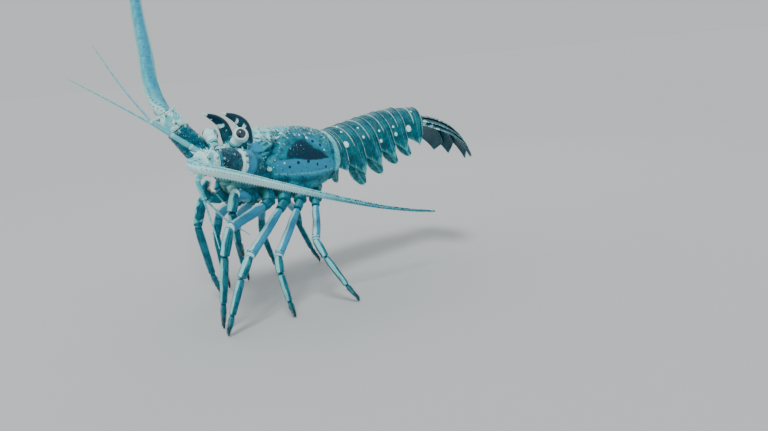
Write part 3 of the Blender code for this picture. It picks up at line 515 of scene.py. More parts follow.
def cells(tree: bpy.types.NodeTree, place: bpy.types.NodeSocket, scale: object) -> bpy.types.NodeSocket:
    """Give the distance from the nearest of scattered points."""
    inputs = {"Vector": place, "Scale": scale}
    return add_node(tree, "ShaderNodeTexVoronoi", {"feature": "F1"}, inputs).outputs["Distance"]


def clouds_of(
    tree: bpy.types.NodeTree, place: bpy.types.NodeSocket, scale: object, detail: float, **more: float
) -> bpy.types.NodeSocket:
    """Give a soft cloudy field from 0 to 1."""
    inputs = {"Vector": place, "Scale": scale, "Detail": detail, **more}
    return add_node(tree, "ShaderNodeTexNoise", None, inputs).outputs["Fac"]


def add_bump(
    tree: bpy.types.NodeTree,
    shader: bpy.types.Node,
    height: bpy.types.NodeSocket,
    strength: float,
    depth: float,
) -> None:
    """Let a height field tilt the shader's normal."""
    bump = add_node(
        tree, "ShaderNodeBump", None, {"Strength": strength, "Distance": depth, "Height": height}
    )
    tree.links.new(bump.outputs["Normal"], shader.inputs["Normal"])


def new_material(name: str) -> tuple:
    """Start a material: give it, its tree, its shader and the Object coordinate."""
    made = bpy.data.materials.new(name)
    made.use_nodes = True
    tree = made.node_tree
    place = add_node(tree, "ShaderNodeTexCoord").outputs["Object"]
    return made, tree, tree.nodes["Principled BSDF"], place


def new_group(name: str, inputs: dict[str, tuple[str, float | None]], outputs: tuple[str, ...]):
    """Start a shared node group with named inputs and outputs.

    Args:
        name: The group's name.
        inputs: Each input's socket type and first value.
        outputs: The names of the outputs, all numbers.

    Returns:
        The tree, its input node and its output node.
    """
    tree = bpy.data.node_groups.new(name, "ShaderNodeTree")
    for key, (kind, value) in inputs.items():
        socket = tree.interface.new_socket(key, in_out="INPUT", socket_type=kind)
        if value is not None:
            socket.default_value = value
    for key in outputs:
        tree.interface.new_socket(key, in_out="OUTPUT", socket_type="NodeSocketFloat")
    return tree, tree.nodes.new("NodeGroupInput"), tree.nodes.new("NodeGroupOutput")


class SharedEffects:
    """The node groups that all the finishes use."""

    def __init__(self) -> None:
        """Build each group once."""
        self.mottle = self.build_mottle()
        self.ragged = self.build_ragged()
        self.relief = self.build_relief()

    @staticmethod
    def build_mottle() -> bpy.types.NodeTree:
        """Make soft clouds of pigment and scattered small dots.

        Returns:
            The group, with the outputs Clouds and Dots.
        """
        tree, given, wanted = new_group(
            "pigment_mottle",
            {
                "Vector": ("NodeSocketVector", None),
                "Cloud Scale": ("NodeSocketFloat", 150.0),
                "Dot Scale": ("NodeSocketFloat", 520.0),
            },
            ("Clouds", "Dots"),
        )
        place = given.outputs["Vector"]
        noise = clouds_of(tree, place, given.outputs["Cloud Scale"], 5.0, Roughness=0.62)
        clouds = stretch(tree, noise, 0.40, 0.62, 0.0, 1.0)
        dots = stretch(tree, cells(tree, place, given.outputs["Dot Scale"]), 0.16, 0.34, 1.0, 0.0)
        gate = stretch(tree, noise, 0.36, 0.50, 1.0, 0.0)
        tree.links.new(clouds, wanted.inputs["Clouds"])
        tree.links.new(combine(tree, "MULTIPLY", dots, gate), wanted.inputs["Dots"])
        return tree

    @staticmethod
    def build_ragged() -> bpy.types.NodeTree:
        """Make a mask's edge as uneven as pigment is.

        Returns:
            The group, with the output Mask.
        """
        tree, given, wanted = new_group(
            "ragged_edge",
            {
                "Vector": ("NodeSocketVector", None),
                "Mask": ("NodeSocketFloat", 0.0),
                "Scale": ("NodeSocketFloat", 500.0),
                "Raggedness": ("NodeSocketFloat", 0.5),
            },
            ("Mask",),
        )
        noise = clouds_of(tree, given.outputs["Vector"], given.outputs["Scale"], 3.0)
        lift = combine(tree, "SUBTRACT", noise, 0.5)
        lift = combine(tree, "MULTIPLY", lift, given.outputs["Raggedness"])
        total = combine(tree, "ADD", given.outputs["Mask"], lift)
        tree.links.new(stretch(tree, total, 0.22, 0.78, 0.0, 1.0), wanted.inputs["Mask"])
        return tree

    @staticmethod
    def build_relief() -> bpy.types.NodeTree:
        """Make the shell's small granules, pits and fine grain.

        Returns:
            The group, with the outputs Height and Pits.
        """
        tree, given, wanted = new_group(
            "shell_relief",
            {"Vector": ("NodeSocketVector", None), "Grain Scale": ("NodeSocketFloat", 900.0)},
            ("Height", "Pits"),
        )
        place, scale = given.outputs["Vector"], given.outputs["Grain Scale"]
        granules = stretch(tree, cells(tree, place, scale), 0.05, 0.55, 1.0, 0.0)
        fine = clouds_of(tree, place, combine(tree, "MULTIPLY", scale, 2.3), 3.0)
        height = combine(tree, "MULTIPLY", granules, 0.6)
        height = combine(tree, "ADD", height, combine(tree, "MULTIPLY", fine, 0.5))
        tree.links.new(height, wanted.inputs["Height"])
        tree.links.new(stretch(tree, fine, 0.3, 0.45, 1.0, 0.0), wanted.inputs["Pits"])
        return tree


@dataclass(frozen=True)
class ShellFinish:
    """Pigmented shell: a base with darker clouds, then the piece's own painted masks.

    The masks violet, pale, dark and cream say where the four other pigments lie, with painted shade in some
    dark masks and a painted highlight in some cream ones, and tip runs from 0 at a spine's root to 1 at its
    point.
    """

    name: str
    base: Colour
    deep: Colour
    violet: Colour = VIOLET
    pale: Colour = PALE
    dark: Colour = DARK
    cream: Colour = CREAM
    roughness: float = 0.42
    gloss: float = 0.20
    coat: float = 0.05
    cloud_scale: float = 150.0
    dot_scale: float = 520.0
    dots: float = 0.5
    grain_scale: float = 900.0
    relief: float = 0.35
    raggedness: float = 0.55

    def material(self, effects: SharedEffects) -> bpy.types.Material:
        """Make the material.

        Args:
            effects: The shared node groups.

        Returns:
            The finished material.
        """
        made, tree, shader, place = new_material(self.name)
        scales = {"Cloud Scale": self.cloud_scale, "Dot Scale": self.dot_scale}
        mottle = group_node(tree, effects.mottle, {"Vector": place, **scales})
        colour = blend_colours(tree, mottle.outputs["Clouds"], self.base, self.deep)
        for key, pigment in (("violet", self.violet), ("pale", self.pale)):
            colour = self.painted(tree, effects, place, colour, key, pigment)
        dots = combine(tree, "MULTIPLY", mottle.outputs["Dots"], self.dots)
        colour = blend_colours(tree, dots, colour, self.pale)
        for key, pigment in (("dark", self.dark), ("cream", self.cream)):
            colour = self.painted(tree, effects, place, colour, key, pigment)
        tip = attribute(tree, "tip")
        colour = blend_colours(tree, stretch(tree, tip, 0.15, 0.55, 0.0, 1.0), colour, self.cream)
        colour = blend_colours(tree, stretch(tree, tip, 0.80, 0.98, 0.0, 0.75), colour, self.dark)
        tree.links.new(colour, shader.inputs["Base Color"])
        relief = group_node(tree, effects.relief, {"Vector": place, "Grain Scale": self.grain_scale})
        rough = combine(tree, "MULTIPLY", relief.outputs["Pits"], 0.22)
        tree.links.new(combine(tree, "ADD", rough, self.roughness), shader.inputs["Roughness"])
        add_bump(tree, shader, relief.outputs["Height"], self.relief, 0.0006)
        shader.inputs["Specular IOR Level"].default_value = self.gloss
        shader.inputs["Coat Weight"].default_value = self.coat
        shader.inputs["Coat Roughness"].default_value = 0.22
        return made

    def painted(
        self,
        tree: bpy.types.NodeTree,
        effects: SharedEffects,
        place: bpy.types.NodeSocket,
        colour: bpy.types.NodeSocket,
        key: str,
        pigment: Colour,
    ) -> bpy.types.NodeSocket:
        """Lay one pigment over a colour where the piece's mask says, with a ragged edge."""
        inputs = {"Scale": self.dot_scale, "Raggedness": self.raggedness}
        edge = group_node(tree, effects.ragged, {"Vector": place, "Mask": attribute(tree, key), **inputs})
        return blend_colours(tree, edge.outputs["Mask"], colour, pigment)


@dataclass(frozen=True)
class EyeFinish:
    """A wet black globe with the faint net of its facets."""

    name: str = "eye_globe"
    ink: Colour = (0.004, 0.010, 0.016)
    glow: Colour = (0.010, 0.045, 0.075)
    facet_scale: float = 2600.0
    cloud_scale: float = 260.0

    def material(self, effects: SharedEffects) -> bpy.types.Material:
        """Make the material.

        Args:
            effects: The shared node groups.

        Returns:
            The finished material.
        """
        made, tree, shader, place = new_material(self.name)
        scales = {"Cloud Scale": self.cloud_scale, "Dot Scale": self.facet_scale}
        mottle = group_node(tree, effects.mottle, {"Vector": place, **scales})
        colour = blend_colours(tree, mottle.outputs["Clouds"], self.ink, self.glow)
        tree.links.new(colour, shader.inputs["Base Color"])
        add_bump(tree, shader, cells(tree, place, self.facet_scale), 0.12, 0.0001)
        shader.inputs["Roughness"].default_value = 0.13
        shader.inputs["Coat Weight"].default_value = 0.8
        shader.inputs["Coat Roughness"].default_value = 0.05
        return made


@dataclass(frozen=True)
class BristleFinish:
    """Fine hairs, dark at the root and straw-coloured at the end."""

    name: str = "bristles"
    root: Colour = (0.020, 0.090, 0.100)
    end: Colour = (0.20, 0.42, 0.40)

    def material(self, effects: SharedEffects) -> bpy.types.Material:
        """Make the material.

        Args:
            effects: The shared node groups.

        Returns:
            The finished material.
        """
        made, tree, shader, place = new_material(self.name)
        tip = attribute(tree, "tip")
        colour = blend_colours(tree, tip, self.root, self.end)
        mottle = group_node(tree, effects.mottle, {"Vector": place})
        colour = blend_colours(tree, mottle.outputs["Dots"], colour, self.root)
        tree.links.new(colour, shader.inputs["Base Color"])
        shader.inputs["Roughness"].default_value = 0.6
        return made


@dataclass(frozen=True)
class Palette:
    """All the finishes of the animal, made once."""

    carapace: bpy.types.Material
    tail: bpy.types.Material
    leg: bpy.types.Material
    antenna: bpy.types.Material
    whip: bpy.types.Material
    horn: bpy.types.Material
    stalk: bpy.types.Material
    under: bpy.types.Material
    eye: bpy.types.Material
    bristle: bpy.types.Material

    @classmethod
    def mixed(cls) -> "Palette":
        """Mix every finish from the shared effects."""
        effects = SharedEffects()
        shells = {
            "carapace": ShellFinish("carapace_finish", (0.006, 0.230, 0.310), (0.001, 0.100, 0.155)),
            "tail": ShellFinish(
                "tail_finish", (0.001, 0.150, 0.190), (0.000, 0.080, 0.115),
                roughness=0.40, relief=0.22, dots=0.3,
            ),
            "leg": ShellFinish(
                "leg_finish", (0.010, 0.200, 0.270), (0.004, 0.110, 0.165), pale=(0.10, 0.58, 0.58),
                roughness=0.36, coat=0.08, relief=0.14, dots=0.12, dot_scale=700.0, raggedness=0.35,
            ),
            "antenna": ShellFinish(
                "antenna_finish", (0.012, 0.205, 0.290), (0.003, 0.095, 0.140),
                relief=0.30, cloud_scale=210.0,
            ),
            "whip": ShellFinish(
                "whip_finish", (0.095, 0.560, 0.640), (0.045, 0.400, 0.490), pale=(0.24, 0.74, 0.80),
                roughness=0.5, coat=0.0, relief=0.18, dots=0.2, cloud_scale=260.0,
            ),
            "horn": ShellFinish(
                "horn_finish", (0.004, 0.070, 0.105), (0.001, 0.028, 0.048),
                roughness=0.32, coat=0.15, relief=0.2, dots=0.1, dot_scale=800.0,
            ),
            "stalk": ShellFinish(
                "stalk_finish", (0.200, 0.680, 0.680), (0.090, 0.480, 0.500), pale=(0.40, 0.80, 0.78),
                roughness=0.38, relief=0.12, dots=0.1,
            ),
            "under": ShellFinish(
                "underside_finish", (0.110, 0.440, 0.430), (0.050, 0.280, 0.310), pale=(0.30, 0.66, 0.62),
                roughness=0.45, relief=0.2, dots=0.2,
            ),
        }
        return cls(
            **{key: finish.material(effects) for key, finish in shells.items()},
            eye=EyeFinish().material(effects),
            bristle=BristleFinish().material(effects),
        )


@dataclass
class Carapace:
    """The shell over the head and chest, with its grooves, spines and fringe."""

    bottom: float = -0.020
    edge: tuple = ((0.0, -0.0180), (0.3, -0.0215), (0.7, -0.0228), (1.0, -0.0165))
    widest: float = -0.004
    lower_edge: float = 0.80
    front_top: float = -0.081
    front_side: float = -0.088
    front_low: float = -0.077
    hollow: tuple = (-0.072, 0.0, -0.002)
    rear_corner: float = -0.0065
    half_width: tuple = ((0.0, 0.0215), (0.3, 0.0262), (0.65, 0.0290), (1.0, 0.0262))
    top: tuple = ((0.0, 0.0165), (0.25, 0.0212), (0.55, 0.0238), (0.8, 0.0240), (1.0, 0.0212))
    cervical: tuple = ((0.0, 0.46), (0.17, 0.42), (0.49, 0.30), (0.68, 0.28), (0.86, 0.24), (1.0, 0.15))
    cervical_size: tuple = (0.045, 0.0021)
    rear_groove: tuple = (0.955, 0.018, 0.0009)
    rows: int = 190
    arch_columns: int = 250
    under_columns: int = 30
    spine_rows: tuple = (
        (0.045, 0.10, 0.64, 6, 0.0066, 0.0034),
        (0.110, 0.22, 0.88, 8, 0.0070, 0.0030),
        (0.185, 0.17, 0.84, 7, 0.0076, 0.0028),
        (0.240, 0.22, 0.33, 2, 0.0056, 0.0042),
    )
    flank_dots: tuple = (
        (0.38, 0.105, 0.00105), (0.48, 0.125, 0.00115), (0.59, 0.130, 0.00120), (0.69, 0.115, 0.00105),
        (0.80, 0.100, 0.00100), (0.68, 0.265, 0.00125), (0.76, 0.235, 0.00120), (0.50, 0.085, 0.00050),
        (0.62, 0.080, 0.00050), (0.39, 0.075, 0.00045), (0.34, 0.070, 0.00045), (0.25, 0.065, 0.00045),
        (0.44, 0.070, 0.00040), (0.56, 0.100, 0.00040), (0.30, 0.090, 0.00040), (0.72, 0.090, 0.00040),
        (0.86, 0.125, 0.00060), (0.25, 0.330, 0.00070), (0.34, 0.315, 0.00070), (0.53, 0.105, 0.00035),
    )
    pale_dots: tuple = (
        (0.18, 0.095, 0.00165), (0.34, 0.125, 0.00080), (0.62, 0.295, 0.00110), (0.56, 0.325, 0.00080),
        (0.80, 0.200, 0.00070), (0.85, 0.300, 0.00080), (0.70, 0.340, 0.00080), (0.76, 0.380, 0.00080),
        (0.90, 0.380, 0.00080), (0.82, 0.430, 0.00080), (0.88, 0.460, 0.00080),
    )
    shoulder_spines: tuple = (
        (0.51, 0.435, 0.0042), (0.47, 0.365, 0.0036), (0.41, 0.295, 0.0032), (0.36, 0.250, 0.0026),
        (0.42, 0.215, 0.0022), (0.30, 0.175, 0.0018),
    )
    brow_spine: tuple = (0.16, 0.435, 0.0088)
    boss: tuple = (0.175, 0.280, 0.0058, 0.0011)
    crease: tuple = ((0.0, 0.190), (0.10, 0.200), (0.16, 0.207), (0.27, 0.245))
    panel_top: tuple = (
        (0.340, 0.140), (0.375, 0.205), (0.430, 0.255), (0.500, 0.288), (0.590, 0.285), (0.680, 0.240),
        (0.780, 0.190), (0.880, 0.145),
    )
    panel_low: float = 0.136
    speckles: int = 34

    def surface(self, along: Array, around: Array) -> Array:
        """Give body-frame points of the arch.

        The side runs as half width times the sine of the angle from the back's top,
        the height as its cosine to the power 0.92. Below the widest level the wall
        pulls in with the square of the way down. Two grooves shrink the section.

        Args:
            along: 0 at the front to 1 at the rear.
            around: 0 at the left lower edge, 0.5 over the back, 1 at the right edge.

        Returns:
            The points, shaped like the inputs with 3 more numbers each.
        """
        half_width = self.read(self.half_width, along)
        top = self.read(self.top, along)
        across = (around - 0.5) * 2.0
        side = np.minimum(np.abs(across) / 0.76, 1.0)
        below = np.maximum(np.abs(across) - 0.76, 0.0) / 0.24
        angle = side * math.pi / 2.0
        arch_z = self.widest + (top - self.widest) * np.maximum(np.cos(angle), 0.0) ** 0.92
        wall_y = half_width * (1.0 - (1.0 - self.lower_edge) * below**2)
        wall_z = self.widest + (self.read(self.edge, along) - self.widest) * below
        y = np.where(below > 0.0, wall_y, half_width * np.sin(angle))
        z = np.where(below > 0.0, wall_z, arch_z)
        groove = self.cervical_size[1] * hump(along, self.groove_line(around), self.cervical_size[0])
        groove = groove + self.rear_groove[2] * hump(along, self.rear_groove[0], self.rear_groove[1])
        shrink = 1.0 - groove * (1.0 - below) / 0.022
        level = np.maximum(0.0, 1.0 - np.abs(side - 0.86) / 0.36)
        front = self.front_top + (self.front_side - self.front_top) * level**1.2
        front = front + (self.front_low - self.front_side) * np.minimum(below * 1.3, 1.0)
        x = front + (self.rear_corner * below**1.5 - front) * along
        return np.stack([x, np.sign(across) * y * shrink, np.where(z > 0.0, z * shrink, z)], axis=-1)

    @staticmethod
    def read(stations: tuple, along: Array) -> Array:
        """Read one of the shell's sizes at any places along it."""
        places, values = zip(*stations)
        return smooth(places, values, np.ravel(along)).reshape(np.shape(along))

    def groove_line(self, around: Array) -> Array:
        """Give how far along the shell the neck groove runs at places round the arch."""
        return self.read(self.cervical, np.minimum(np.abs(around - 0.5) / 0.38, 1.0))

    def outward(self, along: Array, around: Array) -> Array:
        """Give outward body directions: the step along crossed with the step around."""
        step = 0.006
        lengthwise = self.surface(along + step, around) - self.surface(along - step, around)
        crosswise = self.surface(along, around + step) - self.surface(along, around - step)
        return unit(np.cross(lengthwise, crosswise))

    def main_spines(self) -> tuple[Array, Array, Array]:
        """Give along, around and length of the large spines, in rows on both sides."""
        rows = []
        for offset, first, last, count, first_length, last_length in self.spine_rows:
            share = np.linspace(0.0, 1.0, count)
            along = first + (last - first) * share
            length = first_length + (last_length - first_length) * share
            for side in Side:
                rows.append(np.stack([along, np.full(count, 0.5 + side.value * offset), length]))
        return tuple(np.concatenate(rows, axis=1))

    def small_spines(self) -> tuple[Array, Array, Array]:
        """Give the small spines: a staggered net with seeded unevenness, thinning backwards."""
        draw = np.random.default_rng(11)
        row, column = np.meshgrid(np.arange(26), np.arange(30), indexing="ij")
        along = (0.055 + 0.0345 * row + draw.uniform(-0.010, 0.010, row.shape)).ravel()
        around = 0.085 + (column + 0.5 * (row % 2)) * 0.0285
        around = (around + draw.uniform(-0.006, 0.006, row.shape)).ravel()
        length = 0.0016 - 0.0006 * along + draw.uniform(-0.0004, 0.0004, along.shape)
        main_along, main_around, _ = self.main_spines()
        apart = np.hypot(
            (along[:, None] - main_along) * 0.081, (around[:, None] - main_around) * 0.105
        ).min(axis=1)
        low = 0.5 - np.abs(around - 0.5)
        off_groove = np.abs(along - self.groove_line(around)) > 0.030
        keep = (apart > 0.0028) & off_groove & (around < 0.915) & (along < 0.935)
        keep &= (low > 0.225) | ((along < 0.27) & (low > 0.09))
        keep &= (along > 0.26) | (low > 0.375) | (low < 0.185)
        keep &= (low > 0.31) | (along < 0.36) | (along > 0.80)
        return along[keep], around[keep], length[keep]

    def white_spines(self) -> tuple[Array, Array, Array]:
        """Give the pale spines behind the neck groove and the tall one behind each horn."""
        along, low, length = np.array([*self.shoulder_spines, self.brow_spine]).T
        both = np.concatenate([low, 1.0 - low])
        return np.tile(along, 2), both, np.tile(length, 2)

    def spots(self, marks: tuple, points: Array) -> Array:
        """Give round spots on both sides: 1 where the true distance to a mark is within its radius."""
        total = np.zeros(points.shape[:-1])
        for along, low, radius in marks:
            centre = self.surface(np.array(along), np.array(1.0 - low))
            apart = np.linalg.norm(folded(points) - centre, axis=-1)
            total += ramp(-apart, -1.3 * radius, -0.8 * radius)
        return total

    def boss_grain(self, points: Array) -> tuple[Array, Array]:
        """Give the distance from the brow's boss, and level wavy streaks as a cosine from -1 to 1."""
        apart = folded(points) - self.surface(np.array(self.boss[0]), np.array(1.0 - self.boss[1]))
        level = (apart[..., 2] - 0.35 * apart[..., 0]) * 2600.0
        return np.linalg.norm(apart, axis=-1), np.cos(level + 2.2 * wander(points, 0.009, 19))

    def relief(self, along: Array, around: Array, points: Array, roots: Array, lengths: Array) -> Array:
        """Give how far the skin stands proud: grooves, rims and a swelling at each spine."""
        across = (around - 0.5) * 2.0
        low = 0.5 - np.abs(around - 0.5)
        below = np.maximum(np.abs(across) - 0.76, 0.0) / 0.24
        groove = self.groove_line(around)
        height = -0.0009 * hump(along, groove, 0.017) * (1.0 - below)
        height = height + 0.0005 * hump(along, groove + 0.045, 0.022)
        behind = ramp(along, 0.50, 0.58) * (1.0 - ramp(along, 0.90, 0.94))
        height = height - 0.0005 * hump(across, 0.0, 0.012) * behind
        height = height - 0.0006 * hump(np.abs(across), 0.17, 0.016) * behind
        height = height - 0.0006 * hump(along, 0.957, 0.008) + 0.0005 * hump(along, 0.985, 0.010)
        height = height + 0.0004 * hump(along, 0.0, 0.010)
        height = height + 0.0006 * hump(below, 0.93, 0.10) - 0.0004 * hump(below, 0.74, 0.07)
        fold = hump(low, self.read(self.crease, along), 0.011) * (1.0 - ramp(along, 0.24, 0.29))
        height = height - 0.0009 * fold
        boss_radius, boss_height = self.boss[2:]
        reach, grain = self.boss_grain(points)
        height = height + boss_height * hump(reach, 0.0, boss_radius * 0.8)
        height = height + 0.00014 * grain * hump(reach, 0.0, boss_radius * 0.7)
        swell = np.zeros(along.shape)
        for chunk in np.array_split(np.arange(len(roots)), 12):
            apart = ((points[:, :, None] - roots[chunk]) ** 2).sum(axis=-1)
            wide = lengths[chunk] * 0.42
            swell = swell + (lengths[chunk] * 0.16 * np.exp(-apart / wide**2)).sum(axis=-1)
        return height + swell + 0.00016 * wander(points, 0.007, 3)

    def painting(self, along: Array, around: Array, points: Array) -> dict[str, Array]:
        """Give the masks of the shell from places along and around it: pigment, with painted shade along the
        neck groove and the crease and a painted highlight on the upper rear margin.
        """
        low = 0.5 - np.abs(around - 0.5)
        drift = 0.014 * wander(points, 0.016, 5)
        a = along + drift
        b = low + drift * 0.5
        groove = self.groove_line(around)
        crease = self.read(self.crease, along)
        panel = ramp(self.read(self.panel_top, a) - b, -0.020, 0.046)
        panel = panel * ramp(b - self.panel_low, -0.006, 0.016)
        panel = panel * band(a, 0.365, 0.880, 0.035) * (0.76 + 0.24 * ramp(a, 0.42, 0.60))
        flank = band(b, 0.062, 0.142, 0.010) * ramp(along - groove, 0.05, 0.11) * (1.0 - ramp(a, 0.90, 0.94))
        reach, grain = self.boss_grain(points)
        boss = 1.0 - ramp(reach, self.boss[2] * 0.85, self.boss[2] * 1.08)
        outline = hump(reach, self.boss[2] * 1.12, 0.0008) * ramp(along, 0.15, 0.20)
        brow = band(b - crease, 0.008, 0.120, 0.012) * (1.0 - ramp(a, 0.22, 0.27)) * (1.0 - boss)
        crest = ramp(b, 0.335, 0.375) * (1.0 - ramp(a, 0.24, 0.31))
        cheek = band(b, 0.06, 0.19, 0.02) * (1.0 - ramp(along - groove, -0.04, 0.0))
        shoulder = ramp(b, 0.30, 0.40) * (1.0 - ramp(a, 0.50, 0.62))
        over = band(b - self.read(self.panel_top, a), 0.012, 0.060, 0.012) * band(a, 0.60, 0.84, 0.03)
        # The rear margin: its pale and violet are its own colour; the cream over its upper part is a painted
        # highlight.
        margin = ramp(a, 0.915, 0.945) * ramp(low, 0.03, 0.08)
        hem = 0.5 + 0.5 * np.cos(along * 2.0 * math.pi * 30.0)
        hem_dots = ramp(hem, 0.45, 0.75) * hump(low, 0.040, 0.008)
        # Along the crease, where the relief carves a fold: the dark painted here is painted shade.
        fold = hump(low, crease, 0.009) * (1.0 - ramp(along, 0.24, 0.29))
        draw = np.random.default_rng(17)
        flecks = np.stack(
            [
                draw.uniform(0.39, 0.56, self.speckles), draw.uniform(0.175, 0.270, self.speckles),
                draw.uniform(0.00020, 0.00032, self.speckles),
            ],
            axis=-1,
        )
        pale_line = hump(low, 0.062 + 0.022 * along, 0.006) * band(along, 0.20, 0.92, 0.03)
        return {
            "violet": np.clip(0.95 * flank + 0.90 * brow + 0.25 * margin + 0.70 * over, 0.0, 1.0),
            "pale": np.clip(
                0.42 * shoulder + 0.30 * pale_line + 0.30 * hump(along, groove + 0.055, 0.022) + 0.25 * flank
                + boss * (0.35 + 0.20 * grain) + 0.55 * crest + 0.55 * margin, 0.0, 1.0,
            ),
            # In the dark: the line along the neck groove is painted shade in the groove.
            "dark": np.clip(
                0.92 * panel + 0.55 * outline + 0.25 * boss * ramp(-grain, 0.1, 0.8)
                + self.spots(self.flank_dots, points) + 0.50 * hump(along, groove, 0.013)
                + 0.55 * fold + 0.42 * cheek + 0.75 * hem_dots
                + 0.35 * ramp(b, 0.34, 0.44) * ramp(a, 0.62, 0.72)
                + 0.55 * hump(along, 0.905, 0.010) * ramp(low, 0.08, 0.14), 0.0, 1.0,
            ),
            # In the cream: the part over the upper rear margin is a painted highlight.
            "cream": np.clip(
                self.spots(self.pale_dots, points) + 0.5 * self.spots(tuple(flecks), points)
                + 0.75 * ramp(along, 0.985, 1.0)
                + 0.62 * np.maximum(crest, ramp(b, 0.24, 0.33) * (1.0 - ramp(a, 0.38, 0.48)))
                * ramp(wander(points, 0.005, 23), -0.25, 0.25) + 0.45 * margin * ramp(b, 0.20, 0.34)
                + 0.5 * (1.0 - ramp(along, 0.003, 0.009)), 0.0, 1.0,
            ),
        }

    def build(self, palette: Palette) -> None:
        """Make the shell, its spines and the fringe along its lower edge."""
        along, around = np.meshgrid(
            np.linspace(0.0, 1.0, self.rows), np.linspace(0.0, 1.0, self.arch_columns), indexing="ij"
        )
        groups = (self.main_spines(), self.small_spines(), self.white_spines())
        spine_along, spine_around, spine_length = (np.concatenate(parts) for parts in zip(*groups))
        roots = self.surface(spine_along, spine_around)
        arch = self.surface(along, around)
        outward = self.outward(along, around)
        height = self.relief(along, around, arch, roots, spine_length)
        masks = self.painting(along, around, arch)
        arch = arch + outward * height[..., None]
        share = np.linspace(0.0, 1.0, self.under_columns + 2)[1:-1]
        right, left = arch[:, -1:], arch[:, :1]
        under = right + (left - right) * share[None, :, None]
        floor = np.maximum(self.bottom, right[..., 2])
        rise = np.minimum(np.minimum(share, 1.0 - share) / 0.16, 1.0)[None]
        under[..., 2] = right[..., 2] + (floor - right[..., 2]) * rise
        ring = np.concatenate([arch, under], axis=1)
        sunk = np.array([0.012, 0.03, 0.07, 0.15, 0.30, 0.50, 0.72, 0.90])[:, None, None]
        front = ring[:1] + (np.array(self.hollow) - ring[:1]) * sunk[::-1]
        middle = np.array([-0.001, 0.0, 0.0])
        rear = ring[-1:] + (middle - ring[-1:]) * sunk
        skin = np.concatenate([front, ring, rear])
        lining = {"dark": 0.0, "cream": 0.0, "pale": 0.35, "violet": 0.0}
        masks = {
            key: np.pad(
                np.pad(value, ((0, 0), (0, self.under_columns)), constant_values=lining[key]),
                ((len(sunk), len(sunk)), (0, 0)),
                constant_values=lining[key],
            )
            for key, value in masks.items()
        }
        shell = Piece("carapace_shell")
        shell.add(BODY.place(skin), **masks)
        settle(shell.finished(palette.carapace), Slot.CARAPACE, "carapace")
        self.build_spines(palette, *groups)
        self.build_fringe(palette)

    def build_spines(self, palette: Palette, main: tuple, small: tuple, white: tuple) -> None:
        """Make the large, the small and the white forward-pointing spines."""
        forward = np.array([-1.0, 0.0, 0.0])
        spines = Piece("carapace_spines")
        for (along, around, length), width, sides, rows, cream in (
            (main, 0.25, 9, 7, 0.0), (small, 0.46, 6, 4, 0.0), (white, 0.27, 9, 7, 0.9)
        ):
            roots = self.surface(along, around)
            leans = unit(self.outward(along, around) * 0.75 + forward * 0.65)
            thorns(
                spines, BODY.place(roots), BODY.turn(leans), length, length * width,
                BODY.turn(forward * 0.16), sides=sides, rows=rows, dark=0.15, pale=0.35, cream=cream,
            )
        settle(spines.finished(palette.carapace), Slot.CARAPACE)

    def build_fringe(self, palette: Palette) -> None:
        """Make short bristles along the lower edges."""
        draw = np.random.default_rng(21)
        fringe = Piece("carapace_fringe")
        patches = []
        count = 420
        for side in Side:
            along = draw.uniform(0.04, 0.97, count)
            around = np.full(count, 0.5 + side.value * 0.496)
            roots = self.surface(along, around)
            sway = draw.normal(-0.15, 0.2, count)
            leans = np.stack([sway, np.full(count, side.value * 0.15), np.full(count, -1.0)], axis=-1)
            inward = np.array([0.0, -side.value * 0.35, 0.0])
            patches.append(
                hairs(
                    fringe, BODY.place(roots), BODY.turn(leans), draw.uniform(0.0012, 0.0024, count),
                    0.00011, BODY.turn(inward), np.stack([along, around], axis=-1),
                )
            )
        settle(fringe.finished(palette.bristle, np.concatenate(patches)), Slot.CARAPACE)


